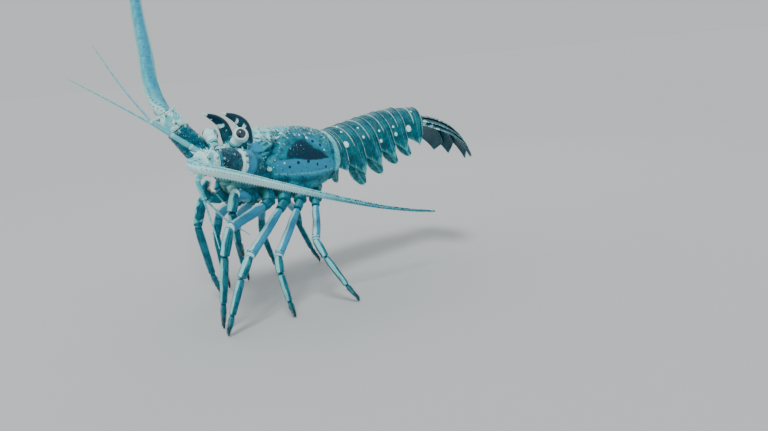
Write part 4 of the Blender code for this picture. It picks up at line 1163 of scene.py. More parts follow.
@dataclass
class Head:
    """The plate between the antennae, the eye bar and the mouth under it."""

    balls: tuple = (
        ((-0.0845, 0.0, -0.0060), (0.0165, 0.0120, 0.0135)),
        ((-0.0770, 0.0, -0.0180), (0.0140, 0.0125, 0.0110)),
        ((-0.0920, 0.0, 0.0030), (0.0090, 0.0130, 0.0078)),
    )
    plate_spines: tuple = (
        (-0.0955, 0.0055, 0.0092, 0.0052), (-0.0992, 0.0044, 0.0020, 0.0044),
        (-0.0890, 0.0030, 0.0100, 0.0030),
    )
    jaw: tuple = ((-0.0868, 0.0050, -0.0215), (0.0042, 0.0040, 0.0034))
    lip: tuple = ((-0.0905, 0.0, -0.0165), (0.0030, 0.0042, 0.0026))

    def build(self, palette: Palette) -> None:
        """Make the head's skins as one piece, with spines beside the middle."""
        plate = Piece("head_plate_skin")
        for index, (centre, radii) in enumerate(self.balls):
            ball = ellipsoid(centre, radii, 60, 90)
            outward = unit((ball - np.array(centre)) / np.array(radii) ** 2)
            upper = ramp(ball[..., 2], -0.012, -0.002)
            stripe = hump(np.abs(ball[..., 1]), 0.0050, 0.0016) * upper
            lift = 0.0006 * stripe - 0.0009 * hump(ball[..., 1], 0.0, 0.0009)
            lift = lift + 0.0003 * wander(ball, 0.006, 31 + index)
            lift = lift + 0.00018 * wander(ball, 0.0022, 37 + index)
            patch = ramp(wander(ball, 0.005, 34 + index), -0.1, 0.35)
            ball = ball + outward * lift[..., None]
            # The dark along the middle line sits in the carved middle groove: painted shade.
            plate.add(
                BODY.place(ball), cream=0.45 * upper * (1.0 - patch) + 0.55 * stripe,
                dark=0.42 * patch * (1.0 - stripe) + 0.55 * hump(ball[..., 1], 0.0, 0.0008),
                violet=0.45 * (1.0 - upper) * ramp(np.abs(ball[..., 1]), 0.006, 0.010),
            )
        jaw_centre, jaw_radii = (np.array(value) for value in self.jaw)
        for side in Side:
            jaw = ellipsoid(jaw_centre * [1.0, side.value, 1.0], jaw_radii, 30, 40)
            plate.add(BODY.place(jaw), pale=0.8, dark=0.9 * hump(jaw[..., 1], 0.0, 0.0016))
        lip = ellipsoid(*self.lip, 30, 40)
        plate.add(BODY.place(lip), pale=0.5, violet=0.4)
        spines = np.array(self.plate_spines)
        for side in Side:
            roots = spines[:, :3] * [1.0, side.value, 1.0]
            leans = np.array([-0.80, 0.12 * side.value, 0.55])
            thorns(
                plate, BODY.place(roots), BODY.turn(np.broadcast_to(leans, roots.shape)), spines[:, 3],
                spines[:, 3] * 0.26, BODY.turn(np.array([-0.1, 0.0, 0.15])), sides=9, rows=7,
            )
        settle(plate.finished(palette.under), Slot.UNDERSIDE, "head_plate")


@dataclass
class Sternum:
    """The breast plate that the legs grow from: a wedge with a ridge for each pair."""

    top: float = -0.0203
    bottom: float = -0.0315
    front: tuple = (-0.0790, 0.0085, 0.0060)
    rear: tuple = (-0.0075, 0.0165, 0.0120)
    leg_places: tuple = (-0.0755, -0.0625, -0.0485, -0.0340, -0.0195)

    def build(self, palette: Palette) -> None:
        """Make the plate.

        A row is a rounded oblong: cosine and sine to the power 0.45, wider above than
        below. Ridges stand out at each leg and a groove runs along the middle.
        """
        share = np.linspace(0.0, 1.0, 150)
        x = self.front[0] + (self.rear[0] - self.front[0]) * share
        upper = self.front[1] + (self.rear[1] - self.front[1]) * share
        lower = self.front[2] + (self.rear[2] - self.front[2]) * share
        angle = 2.0 * math.pi * np.arange(72) / 72
        wide = np.sign(np.cos(angle)) * np.abs(np.cos(angle)) ** 0.45
        tall = np.sign(np.sin(angle)) * np.abs(np.sin(angle)) ** 0.45
        half_height = (self.top - self.bottom) / 2.0
        middle = (self.top + self.bottom) / 2.0
        past = np.clip(np.abs(2.0 * share - 1.0) - 0.95, 0.0, 0.05) / 0.051
        rounding = np.sqrt(np.clip(1.0 - past**2, 0.02, 1.0))
        ridge = sum(hump(x, place, 0.0030) for place in self.leg_places)
        half = (upper[:, None] + lower[:, None]) / 2.0 + (upper - lower)[:, None] / 2.0 * tall
        y = half * wide * rounding[:, None]
        z = middle + half_height * tall * rounding[:, None]
        under = np.clip(-tall, 0.0, 1.0)
        z = z - 0.0007 * (ridge[:, None] - 0.5) * under + 0.0010 * hump(y, 0.0, 0.0014) * under
        points = np.stack([np.broadcast_to(x[:, None], y.shape), y, z], axis=-1)
        plate = Piece("sternum_plate")
        crest = ridge[:, None] * under
        off_crest = 1.0 - np.clip(crest, 0.0, 1.0)
        plate.add(BODY.place(points), cream=0.6 * crest, violet=0.55 * off_crest * under)
        settle(plate.finished(palette.under), Slot.UNDERSIDE, "sternum")


@dataclass
class Horn:
    """The big curved horn over one eye, dark above with cream patches below."""

    side: Side
    stations: tuple = (
        (0.00, (-0.0765, -0.0108, 0.0080, 0.0046)),
        (0.20, (-0.0790, -0.0116, 0.0142, 0.0045)),
        (0.42, (-0.0805, -0.0126, 0.0205, 0.0044)),
        (0.62, (-0.0838, -0.0130, 0.0261, 0.0038)),
        (0.80, (-0.0905, -0.0128, 0.0299, 0.0028)),
        (1.00, (-0.1004, -0.0118, 0.0326, 0.0003)),
    )
    rows: int = 120
    columns: int = 44

    def build(self, palette: Palette) -> None:
        """Make the horn: a round section carried up a smooth curve, with fine rings."""
        places, values = zip(*self.stations)
        share = np.linspace(0.0, 1.0, self.rows)
        line = smooth(places, values, share)
        path = BODY.place(line[:, :3] * [1.0, -self.side.value, 1.0])
        angle = ring_angles(self.columns)
        rings = 1.0 + 0.012 * np.sin(share * 150.0) * (1.0 - share)
        keel = 1.0 + 0.05 * np.cos(3.0 * angle)
        radius = (line[:, 3] * rings)[:, None] * keel
        points = tube(path, headings_along(path), radius, radius, ACROSS, self.columns)
        front = ramp((path[:, None] - points)[..., 0] / np.maximum(line[:, 3:4], 1e-4), -0.2, 0.5)
        patches = ramp(wander(points, 0.006, 41), 0.05, 0.3) * front * band(share, 0.42, 0.86, 0.06)[:, None]
        horn = Piece(f"horn_{self.side.label}_shell")
        foot = 1.0 - ramp(share, 0.10, 0.34)[:, None]
        horn.add(
            points, cream=0.85 * patches + 0.8 * band(share, 0.93, 1.1, 0.02)[:, None],
            dark=0.6 * (1.0 - front), violet=0.55 * foot, pale=0.5 * foot * front,
        )
        settle(horn.finished(palette.horn), Slot.HORN, f"horn_{self.side.label}")


@dataclass
class Eye:
    """One eye: a short stalk that swells to a cream bulb, and the black cornea in its front."""

    side: Side
    root: tuple = (-0.0922, -0.0080, 0.0055)
    centre: tuple = (-0.0892, -0.0190, 0.0168)
    radius: float = 0.0056
    stalk_radii: tuple = (0.0040, 0.0037, 0.0041, 0.0048)
    cornea_offset: tuple = (-0.0014, -0.0023, 0.0010)
    cornea_radius: float = 0.0040
    lip: tuple = (0.00415, 0.0010, 0.00055)

    def build(self, palette: Palette) -> None:
        """Make the stalk with its bulb, and the cornea, as two pieces."""
        mirror = np.array([1.0, -self.side.value, 1.0])
        root = BODY.place(np.array(self.root) * mirror)
        centre = BODY.place(np.array(self.centre) * mirror)
        gaze = BODY.turn(unit(np.array(self.cornea_offset)) * mirror)
        cup = Piece(f"eye_{self.side.label}_stalk")
        self.add_stalk(cup, root, centre)
        self.add_bulb(cup, centre, gaze)
        settle(cup.finished(palette.stalk), Slot.EYE)
        globe = ellipsoid((0.0, 0.0, 0.0), np.full(3, self.cornea_radius) * (1.0, 0.98, 1.03), 60, 80)
        axes = np.stack([gaze, *cross_axes(gaze, UP)])
        middle = centre + gaze * np.linalg.norm(self.cornea_offset)
        ball = Piece(f"eye_{self.side.label}_globe")
        ball.add(middle + globe @ axes)
        settle(ball.finished(palette.eye), Slot.EYE, f"eye_{self.side.label}")

    def add_stalk(self, cup: Piece, root: Array, centre: Array) -> None:
        """Add the stalk: a tube with two drawn-in joints and a dark ring at the one nearer the bulb."""
        share = np.linspace(0.0, 1.0, 60)
        path = root + (centre - root) * share[:, None] * 0.97
        radius = smooth(np.linspace(0.0, 1.0, 4), self.stalk_radii, share)
        radius = radius - 0.00045 * hump(share, 0.42, 0.05) - 0.0003 * hump(share, 0.18, 0.03)
        points = tube(path, headings_along(path), radius, radius, UP, 48)
        blotch = ramp(wander(points, 0.005, 51), 0.1, 0.4)
        cup.add(
            points, cream=0.8 * ramp(share, 0.50, 0.65)[:, None],
            dark=0.85 * hump(share, 0.42, 0.04)[:, None] + 0.5 * blotch * (share < 0.36)[:, None],
        )

    def add_bulb(self, cup: Piece, centre: Array, gaze: Array) -> None:
        """Add the bulb: a ball about the gaze, with a raised lip where the cornea starts.

        Its radius is the ball's, plus a hump of the distance from the gaze's axis at
        the lip, plus soft unevenness.
        """
        ball = ellipsoid((0.0, 0.0, 0.0), np.full(3, self.radius), 80, 80)
        axes = np.stack([gaze, *cross_axes(gaze, UP)])
        off_axis = np.hypot(ball[..., 1], ball[..., 2])
        before = ramp(ball[..., 0], -0.001, 0.001)
        lip_radius, lip_width, lip_height = self.lip
        swell = lip_height * hump(off_axis, lip_radius, lip_width) * before
        swell = swell + 0.00012 * wander(ball, 0.003, 52)
        skin = ball * (1.0 + swell / self.radius)[..., None]
        # A dark ring in the trough between the cornea and the raised lip: painted shade.
        seam = hump(off_axis, lip_radius - 0.0004, 0.0004) * before
        patch = ramp(wander(ball, 0.0035, 53), -0.1, 0.35) * (1.0 - ramp(ball[..., 0], -0.003, 0.001))
        cup.add(centre + skin @ axes, cream=0.9 * (1.0 - 0.9 * patch), dark=0.7 * seam + 0.38 * patch)


@dataclass
class Antenna:
    """One antenna: three stout spiny lengths and a long ringed whip."""

    side: Side
    joints: tuple
    whip_points: tuple
    whip_radius: float
    tip_radius: float
    whip_nodes: tuple
    joint_sizes: tuple = ((0.0088, 0.0094), (0.0084, 0.0094), (0.0072, 0.0076), (0.0066, 0.0068))
    spines: tuple = (
        (0, 0.84, 120.0, 175.0, 3, 0.0044),
        (1, 0.42, 50.0, 150.0, 3, 0.0036),
        (1, 0.86, 0.0, 210.0, 6, 0.0046),
        (2, 0.34, 20.0, 300.0, 5, 0.0034),
        (2, 0.80, 0.0, 310.0, 7, 0.0042),
    )
    scatter: tuple = ((40, 0.0010, 0.0019), (130, 0.0007, 0.0013), (90, 0.0014, 0.0027))
    ring_length: float = 0.0012
    rows_per_ring: int = 4
    spinule_angles: tuple = (40.0, 140.0, 270.0, 0.0, 180.0)
    spinule_length: float = 0.0015

    def stages(self) -> tuple[Array, Array, Array]:
        """Give the base's centre line, headings and half sizes at nine marks and the end."""
        base = BODY.place(np.array(self.joints))
        sizes = np.array(self.joint_sizes)
        shares = np.array([0.0, 0.3, 0.75])
        swell = np.where(shares == 0.0, 1.0, 1.07)[:, None]
        path = [base[i] + (base[i + 1] - base[i]) * shares[:, None] for i in range(3)]
        girth = [(sizes[i] + (sizes[i + 1] - sizes[i]) * shares[:, None]) * swell for i in range(3)]
        path = np.concatenate([*path, base[-1:]])
        return path, headings_along(path), np.concatenate([*girth, sizes[-1:]])

    def build(self, palette: Palette) -> None:
        """Make the three lengths, their spines, the whip and its thorns."""
        path, headings, girth = self.stages()
        for index, name in enumerate(("base", "middle", "end")):
            self.build_length(palette, index, name, path, headings, girth)
        self.build_whip(palette, path[-1], headings[-1])

    def build_length(
        self, palette: Palette, index: int, name: str, path: Array, headings: Array, girth: Array
    ) -> None:
        """Make one stout length.

        The section is the oval of the solid. It narrows at the near joint, flares into
        a collar at the far one and rounds off into both, and three soft keels run
        along it.

        Args:
            palette: The finishes.
            index: Which length, from 0 at the head.
            name: The length's name.
            path: The base's centre line.
            headings: Its directions.
            girth: Its half widths and heights.
        """
        places = np.arange(4) + index * 3
        share = np.linspace(0.0, 1.0, 96)
        at = index * 3 + share * 3.0
        line = smooth(places, path[places], at)
        turn = unit(smooth(places, headings[places], at))
        size = smooth(places, girth[places], at)
        collar = 1.0 + 0.055 * hump(share, 0.92, 0.05) - 0.07 * hump(share, 0.02, 0.10)
        collar = collar - 0.030 * hump(share, 0.83, 0.03)
        if index == 0:
            collar = collar * (0.62 + 0.38 * ramp(share, -0.10, 0.46))
        collar = collar * np.sqrt(np.clip(1.0 - (np.clip(share - 0.955, 0.0, 1.0) / 0.052) ** 2, 0.04, 1.0))
        collar = collar * np.sqrt(np.clip(1.0 - (np.clip(0.035 - share, 0.0, 1.0) / 0.040) ** 2, 0.04, 1.0))
        count = 84
        angle = ring_angles(count)
        keel = 1.0 + 0.022 * np.cos(3.0 * angle + 0.6) + 0.010 * np.cos(5.0 * angle)
        points = tube(
            line, turn, (size[:, 0] * collar)[:, None] * keel, (size[:, 1] * collar)[:, None] * keel,
            UP, count,
        )
        points = points + grid_normals(points) * (0.00022 * wander(points, 0.005, 61 + index))[..., None]
        flip = angle if self.side is Side.LEFT else math.pi - angle
        rim = band(share, (0.76, 0.92, 0.88)[index], 1.2, (0.07, 0.03, 0.04)[index])[:, None]
        patch = ramp(wander(points, 0.010, 71 + index), -0.1, 0.35)
        upper = ramp(np.sin(angle), -0.2, 0.4)[None]
        outer = ramp(-np.cos(flip), 0.0, 0.6)[None]
        front = ramp(share, 0.42, 0.60)[:, None]
        masks = (
            {"violet": 0.95 * front * (1.0 - 0.6 * upper * patch), "pale": 0.35 * (1.0 - front) * patch,
             "cream": 0.90 * rim * outer,
             "dark": 0.45 * (1.0 - front) * (1.0 - patch) + 0.35 * upper * (1.0 - outer)},
            # The middle length is painted darker on the left antenna than on the right one: painted shade on
            # the left one.
            {"dark": (0.52 if self.side is Side.LEFT else 0.30) + 0.12 * patch - 0.45 * rim,
             "pale": 0.20 * (1.0 - upper) * (1.0 - patch), "cream": 0.25 * rim, "violet": 0.0},
            {"pale": 0.60 + 0.3 * patch, "cream": 0.55 * rim + 0.75 * (1.0 - 0.6 * patch), "dark": 0.0},
        )[index]
        length = Piece(f"antenna_{self.side.label}_{name}_shell")
        length.add(points, **masks)
        self.add_spines(length, index, path, headings, girth)
        settle(length.finished(palette.antenna), Slot.ANTENNA, f"antenna_{self.side.label}_{name}")

    def skin(self, path: Array, headings: Array, girth: Array, places: Array, angles: Array) -> tuple:
        """Give points on the base's oval skin with their outward and forward directions."""
        index = np.minimum(places.astype(int), len(path) - 2)
        share = (places - index)[:, None]
        centre = path[index] + (path[index + 1] - path[index]) * share
        heading = unit(headings[index] + (headings[index + 1] - headings[index]) * share)
        size = girth[index] + (girth[index + 1] - girth[index]) * share
        sideways, upward = cross_axes(heading, UP)
        c, s = np.cos(angles)[:, None], np.sin(angles)[:, None]
        points = centre + sideways * size[:, :1] * c + upward * size[:, 1:] * s
        return points, sideways * c + upward * s, heading

    def add_spines(self, piece: Piece, index: int, path: Array, headings: Array, girth: Array) -> None:
        """Add the rings of large spines and a scatter of small ones to one length."""
        draw = np.random.default_rng(81 + index)
        for wanted, along, first, last, count, size in self.spines:
            if wanted != index:
                continue
            angles = np.radians(np.linspace(first, last, count))
            angles = angles if self.side is Side.LEFT else math.pi - angles
            places = np.full(count, (index + along) * 3.0)
            skin, outward, heading = self.skin(path, headings, girth, places, angles)
            leans = outward * 0.75 + heading * 0.65
            thorns(piece, skin, leans, size, size * 0.25, heading * 0.14, sides=9, rows=7)
        count, least, most = self.scatter[index]
        places = index * 3 + draw.uniform(0.15, 2.85, count)
        angles = draw.uniform(0.0, 2.0 * math.pi, count)
        skin, outward, heading = self.skin(path, headings, girth, places, angles)
        size = draw.uniform(least, most, count)
        thorns(
            piece, skin, outward * 0.8 + heading * 0.6, size, size * 0.3, heading * 0.1, sides=6, rows=4,
            cream=0.85 * (index > 0),
        )

    def build_whip(self, palette: Palette, start: Array, base_heading: Array) -> None:
        """Make the whip and its rows of thorns.

        The centre line is the smooth line through the route's points by distance. The
        radius falls as (1 - share) to the power 1.1, and in each ring it grows evenly
        by a twelfth and then drops back.
        """
        stations = np.concatenate([start[None], BODY.place(np.array(self.whip_points))])
        gone = length_along(stations)
        total = gone[-1]
        rings = int(total / self.ring_length)
        count = rings * self.rows_per_ring + 1
        share = (np.arange(count) / (count - 1)) ** 1.06
        path = smooth(gone, stations, share * total)
        path[0] = path[0] + base_heading * GAP
        headings = headings_along(path)
        blend = np.clip(np.arange(count) / 12.0, 0.0, 1.0)[:, None]
        headings = unit(base_heading * (1.0 - blend) + headings * blend)
        radius = self.tip_radius + (self.whip_radius - self.tip_radius) * (1.0 - share) ** 1.1
        phase = (np.arange(count) % self.rows_per_ring) / (self.rows_per_ring - 1.0)
        grown = radius * (0.965 + 0.075 * phase) * np.where(share < 0.004, 0.94, 1.0)
        columns = 20
        up = UP
        points = tube(path, headings, grown, grown, up, columns)
        angle = ring_angles(columns)
        masks = self.whip_painting(points, share, angle, phase)
        whip = Piece(f"antenna_{self.side.label}_whip_skin")
        whip.add(points, **masks)
        every = 2 * self.rows_per_ring
        marks = np.arange(self.rows_per_ring - 1 + every, int(count * 0.78), every)
        for row, degrees in enumerate(self.spinule_angles):
            at = np.minimum(marks + (row % 2) * self.rows_per_ring, count - 1)
            sideways, upward = cross_axes(headings[at], up)
            turn = math.radians(degrees)
            outward = sideways * math.cos(turn) + upward * math.sin(turn)
            roots = path[at] + outward * grown[at][:, None]
            size = self.spinule_length * (0.55 + 0.45 * (1.0 - share[at]))
            thorns(
                whip, roots, outward * 0.75 + headings[at] * 0.65, size, size * 0.33, headings[at] * 0.1,
                sides=5, rows=3, sink=0.0003,
            )
        nodes = [f"antenna_{self.side.label}_whip_{name}" for name in self.whip_nodes]
        settle(whip.finished(palette.whip), Slot.ANTENNA, *nodes)

    def whip_painting(self, points: Array, share: Array, angle: Array, phase: Array) -> dict[str, Array]:
        """Give the whip's masks: on the right one a painted highlight stripe in cream down the front and a
        violet back, on the left one a speckled top.
        """
        rim = (phase > 0.9)[:, None]
        specks = ramp(wander(points, 0.0034, 91), 0.12, 0.45)
        away = ramp(share, 0.30, 0.75)[:, None]
        if self.side is Side.LEFT:
            top = ramp(np.sin(angle), 0.1, 0.7)[None]
            return {
                "pale": 0.5 * rim + 0.4 * (1.0 - away), "dark": 0.60 * specks * top + 0.45 * away,
                "cream": (0.75 - 0.45 * top) * (1.0 - away), "violet": 0.4 * away,
            }
        # A narrow cream stripe along the right whip: painted highlight.
        front = hump(np.cos(angle + 2.85), 1.0, 0.14)[None]
        back = hump(np.cos(angle - 1.35), 1.0, 0.30)[None]
        return {
            "cream": 0.85 * front + 0.35 * (1.0 - ramp(share, 0.02, 0.10))[:, None], "pale": 0.3 * rim,
            "dark": 0.40 * specks * (1.0 - front), "violet": 0.62 * back,
        }


@dataclass
class Antennule:
    """One forked antennule: a jointed stalk and two thin ringed whips."""

    side: Side
    stalk: tuple
    tips: tuple
    radii: tuple = (0.0024, 0.0022, 0.0020, 0.0018, 0.0016)
    whip_radius: tuple = (0.00078, 0.00026)

    def build(self, palette: Palette) -> None:
        """Make the stalk and both whips as three pieces."""
        path = BODY.place(np.array(self.stalk))
        up = UP
        share = np.linspace(0.0, 4.0, 150)
        line = smooth(np.arange(5), path, share)
        headings = headings_along(line)
        part = share % 1.0
        radius = smooth(np.arange(5), self.radii, share)
        waist = 0.16 * hump(part, 0.0, 0.05) + 0.16 * hump(part, 1.0, 0.03)
        radius = radius * (1.0 + 0.10 * hump(part, 0.90, 0.07) - waist)
        radius[-3:] *= np.array([0.9, 0.7, 0.4])
        points = tube(line, headings, radius, radius, up, 32)
        stalk = Piece(f"antennule_{self.side.label}_stalk_skin")
        cuff = hump(part, 0.90, 0.09)[:, None]
        stripe = ramp(np.sin(ring_angles(32)), 0.2, 0.8)[None]
        stalk.add(points, cream=0.5 * cuff, dark=0.24 * stripe * (1.0 - cuff), pale=0.6 * (1.0 - stripe))
        settle(stalk.finished(palette.whip), Slot.ANTENNA, f"antennule_{self.side.label}_stalk")
        end = path[-1]
        heading = unit(path[-1] - path[-2])
        tips = BODY.place(np.array(self.tips))
        apart = tips[0] - tips[1]
        apart = unit(apart - heading * (apart @ heading))
        for name, tip, sign in zip(("outer", "inner"), tips, (1.0, -1.0)):
            root = end + heading * GAP + apart * (sign * 0.00095)
            stations = np.array([root, root + (tip - root) * 0.3 + heading * 0.0035, tip])
            rows = 280
            share = np.linspace(0.0, 1.0, rows)
            line = smooth((0.0, 0.3, 1.0), stations, share)
            headings = headings_along(line)
            blend = np.clip(share / 0.05, 0.0, 1.0)[:, None]
            headings = unit(heading * (1.0 - blend) + headings * blend)
            phase = (np.arange(rows) % 4) / 3.0
            radius = self.whip_radius[0] + (self.whip_radius[1] - self.whip_radius[0]) * share
            radius = radius * (0.93 + 0.12 * phase)
            points = tube(line, headings, radius, radius, up, 12)
            bands = ramp(np.sin(share * 60.0), 0.2, 0.8)[:, None]
            whip = Piece(f"antennule_{self.side.label}_{name}_skin")
            whip.add(points, pale=0.55 + 0.25 * bands, cream=0.30 * bands)
            settle(whip.finished(palette.whip), Slot.ANTENNA, f"antennule_{self.side.label}_{name}")


@dataclass(frozen=True)
class Podomere:
    """One length of a limb between two joints."""

    path: Array
    radii: Array
    rows: int = 80
    columns: int = 44
    collar: float = 0.09
    waist: float = 0.10
    flatten: float = 0.0
    round_near: float = 0.06
    round_far: float = 0.05

    def skin(self, up: Array) -> tuple[Array, Array, Array]:
        """Give the length's skin.

        The centre line and the radius are smooth lines through the stations. The radius
        swells by the collar at the far joint and draws in by the waist at the near one,
        and both ends round off as a quarter ellipse.

        Args:
            up: The direction of the section's height.

        Returns:
            The points, the share along the length and the angle round it.
        """
        gone = length_along(self.path)
        gone = gone / gone[-1]
        share = np.linspace(0.0, 1.0, self.rows)
        line = smooth(gone, self.path, share)
        radius = smooth(gone, self.radii, share)
        radius = radius * (1.0 + self.collar * hump(share, 0.93, 0.05) - self.waist * hump(share, 0.0, 0.13))
        near = np.clip(self.round_near - share, 0.0, 1.0) / (self.round_near * 1.01)
        far = np.clip(share - 1.0 + self.round_far, 0.0, 1.0) / (self.round_far * 1.01)
        for past in (near, far):
            radius = radius * np.sqrt(np.clip(1.0 - past**2, 0.02, 1.0))
        angle = ring_angles(self.columns)
        keel = 1.0 + 0.018 * np.cos(4.0 * angle)
        height = radius * (1.0 - self.flatten)
        points = tube(
            line, headings_along(line), radius[:, None] * keel, height[:, None] * keel, up, self.columns
        )
        return points, share[:, None], angle[None]


@dataclass
class WalkingLeg:
    """One walking leg from its hip under the body to its claw."""

    side: Side
    number: int
    hip: tuple
    knee: tuple
    foot: tuple | None
    thick: float
    raised_foot: tuple = (-0.0920, -0.0105, 0.0475)
    bow: tuple = (0.0085, 0.0050, 0.0045, 0.0040, 0.0040)
    hip_radius: tuple = (0.0045, 0.0051, 0.0052, 0.0052, 0.0052)
    coxa_length: tuple = (0.0060, 0.0080, 0.0080, 0.0080, 0.0080)
    first_heading: tuple = (-0.74, 0.60, -0.30)
    other_heading: tuple = (-0.45, 0.62, -0.64)
    ischium_share: float = 0.15
    carpus_share: float = 0.26
    propodus_share: float = 0.74
    foot_radius: float = 0.0009
    foot_shank: float = 0.0022
    up: tuple = (1.0, 0.2, 0.1)
    forward: tuple = (-0.70, 0.25, 0.65)

    def marks(self) -> dict[str, Array]:
        """Give the places of the joints and of the bends between them."""
        sign = self.side.value
        hip = BODY.place(np.array(self.hip))
        knee = BODY.standing(np.array(self.knee))
        heading = np.array(self.first_heading if self.number == 1 else self.other_heading)
        bend = hip + np.array([0.0, sign * 0.0072, -0.0015])
        coxa = bend + unit(heading * [1.0, sign, 1.0]) * self.coxa_length[self.number - 1]
        ischium = coxa + (knee - coxa) * self.ischium_share
        middle = (ischium + knee) / 2.0 + np.array([0.0, sign * 0.0012, 0.0008])
        if self.foot is None:
            toe = shank = BODY.standing(np.array(self.raised_foot))
        else:
            toe = BODY.standing(np.array([*self.foot, 0.0]))
            shank = toe + np.array([0.0, 0.0, self.foot_shank])
        away = np.array([-0.80, sign * 0.45, 0.10]) * self.bow[self.number - 1]
        wrist = knee + (shank - knee) * self.carpus_share + away
        palm = knee + (shank - knee) * self.propodus_share + away * 0.6
        return {
            "hip": hip, "bend": bend, "coxa": coxa, "ischium": ischium, "middle": middle,
            "knee": knee, "wrist": wrist, "palm": palm, "shank": shank, "toe": toe,
        }

    def lengths(self) -> tuple[list[Podomere], list[Podomere]]:
        """Give the lengths above and below the knee."""
        m = self.marks()
        thick = self.thick
        broad = self.hip_radius[self.number - 1]
        upper = [
            Podomere(
                np.array([m["hip"], m["bend"], m["coxa"]]),
                np.array([1.0, 1.06, 0.92]) * broad, 60, 48, 0.05, 0.0,
            ),
            Podomere(
                np.array([m["coxa"], (m["coxa"] + m["ischium"]) / 2.0, m["ischium"]]),
                np.array([1.02, 1.10, 1.00]) * thick, 60, 44, 0.03, 0.06, 0.06,
            ),
            Podomere(
                np.array([m["ischium"], m["ischium"] * 0.88 + m["knee"] * 0.12, m["middle"], m["knee"]]),
                np.array([0.92, 1.00, 1.04, 1.08]) * thick, 130, 52, 0.05, 0.07, 0.10, 0.03, 0.028,
            ),
        ]
        near = unit(m["knee"] - m["wrist"]) * thick * 0.35
        after = m["knee"] + (m["wrist"] - m["knee"]) * 0.45
        lower = [
            Podomere(
                np.array([m["knee"] + near, after, m["wrist"]]),
                np.array([0.86, 1.04, 0.90]) * thick, 80, 46, 0.06, 0.06, 0.06, 0.10, 0.06,
            ),
            Podomere(
                np.array([m["wrist"], m["wrist"] * 0.7 + m["palm"] * 0.3, m["palm"]]),
                np.array([0.84, 0.90, 0.68]) * thick, 100, 44, 0.06, 0.05, 0.12, 0.05, 0.04,
            ),
        ]
        claw_end = self.foot_radius * 0.8 / thick
        stations = [m["palm"], m["palm"] * 0.6 + m["shank"] * 0.4, m["shank"]]
        sizes = [0.60, 0.52, claw_end * 1.15]
        if self.foot is not None:
            stations.append(m["toe"] + FLOOR_LEVEL * UP)
            sizes.append(claw_end)
        lower.append(
            Podomere(np.array(stations), np.array(sizes) * thick, 100, 36, 0.0, 0.10, 0.06, 0.04, 0.03)
        )
        return upper, lower

    def painting(self, kind: int, points: Array, share: Array) -> dict[str, Array]:
        """Give one length's masks.

        How far a point faces forwards is its outward direction times the direction
        square to the limb that is nearest to the front. Pale lines run where that is
        near 1 and -1, thin dark ones between them.

        Args:
            kind: Which length, from 0 at the hip to 5 at the claw.
            points: The length's skin.
            share: The share along the length, one for each row.

        Returns:
            The masks of the four pigments.
        """
        centre = points.mean(axis=1)
        heading = headings_along(centre)
        forward = unit(np.array(self.forward) * [1.0, self.side.value, 1.0])
        front = unit(forward - heading * (heading @ forward)[:, None])
        facing = (unit(points - centre[:, None]) * front[:, None]).sum(axis=-1)
        facing = facing + 0.06 * wander(points, 0.012, 13 * self.number + kind)
        within = band(share, 0.03, 0.95, 0.03)
        fore = ramp(facing, 0.78, 0.92) * within
        aft = ramp(-facing, 0.84, 0.96) * within
        lines = (hump(facing, 0.44, 0.06) + 0.8 * hump(facing, -0.28, 0.07)) * band(share, 0.06, 0.92, 0.03)
        knuckle = ramp(share, 0.955, 0.985)
        cuff = hump(share, 0.925, 0.016)
        near = (1.0 - ramp(share, 0.02, 0.06))
        patch = ramp(wander(points, 0.008, 17 * self.number + kind), 0.0, 0.5)
        if kind <= 1:
            return {
                "violet": 0.15, "pale": 0.50 * fore + 0.2 * aft, "cream": 0.25 * knuckle * kind,
                "dark": 0.32 + 0.25 * lines + 0.3 * cuff,
            }
        if kind == 2:
            return {
                "violet": 0.95,
                "pale": 0.60 * fore + 0.55 * aft + 0.35 * (1.0 - fore) * hump(facing, 0.1, 0.16),
                "cream": 0.65 * knuckle + 0.55 * ramp(facing, 0.80, 0.93) * within,
                "dark": 0.46 * lines * (1.0 - fore) + 0.40 * cuff,
            }
        if kind == 3:
            return {
                "violet": 0.20 * (1.0 - patch),
                "pale": 0.80 * fore + 0.35 * aft + (0.35 + 0.4 * (self.number == 1)) * patch,
                "cream": 0.25 * knuckle + 0.35 * near + 0.45 * fore,
                "dark": 0.42 * lines + 0.28 * (1.0 - patch),
            }
        if kind == 4:
            return {
                "violet": 0.20, "pale": 0.80 * fore + 0.55 * aft + 0.10,
                "cream": 0.25 * knuckle + 0.42 * fore,
                "dark": 0.45 * lines + 0.30 * cuff + 0.18 * (1.0 - fore),
            }
        return {
            "violet": 0.15, "pale": 0.45 * fore, "dark": 0.30 + 0.35 * ramp(share, 0.30, 0.6),
            "cream": 0.75 * ramp(share, 0.93, 0.97),
        }

    def build(self, palette: Palette) -> None:
        """Make the upper and lower shells and the bristles of the end."""
        up = np.array(self.up)
        kind = 0
        label = f"leg_{self.number}_{self.side.label}"
        for name, lengths in zip(("upper", "lower"), self.lengths()):
            shell = Piece(f"{label}_{name}_shell")
            for length in lengths:
                points, share, _ = length.skin(up)
                points = points + grid_normals(points) * (
                    0.00010 * wander(points, 0.006, 7 * self.number + kind)
                )[..., None]
                points[..., 2] = np.maximum(points[..., 2], FLOOR_LEVEL)
                shell.add(points, **self.painting(kind, points, share))
                kind += 1
            if name == "upper":
                self.add_knee_spine(shell, lengths[-1])
            settle(shell.finished(palette.leg), Slot.LEG, f"{label}_{name}")
        self.build_bristles(palette, lengths[-1], lengths[-2], up)

    def add_knee_spine(self, shell: Piece, merus: Podomere) -> None:
        """Add the two small spines over the far end of the long upper length."""
        heading = unit(merus.path[-1] - merus.path[-2])
        sideways, upward = cross_axes(heading, UP)
        turn = np.array([0.9, 2.2])[:, None]
        outward = sideways * np.cos(turn) + upward * np.sin(turn)
        roots = merus.path[-1] - heading * self.thick * 0.9 + outward * self.thick * 1.08
        thorns(shell, roots, outward * 0.6 + heading * 0.8, 0.0022, 0.0007, heading * 0.1, sides=8, rows=5)

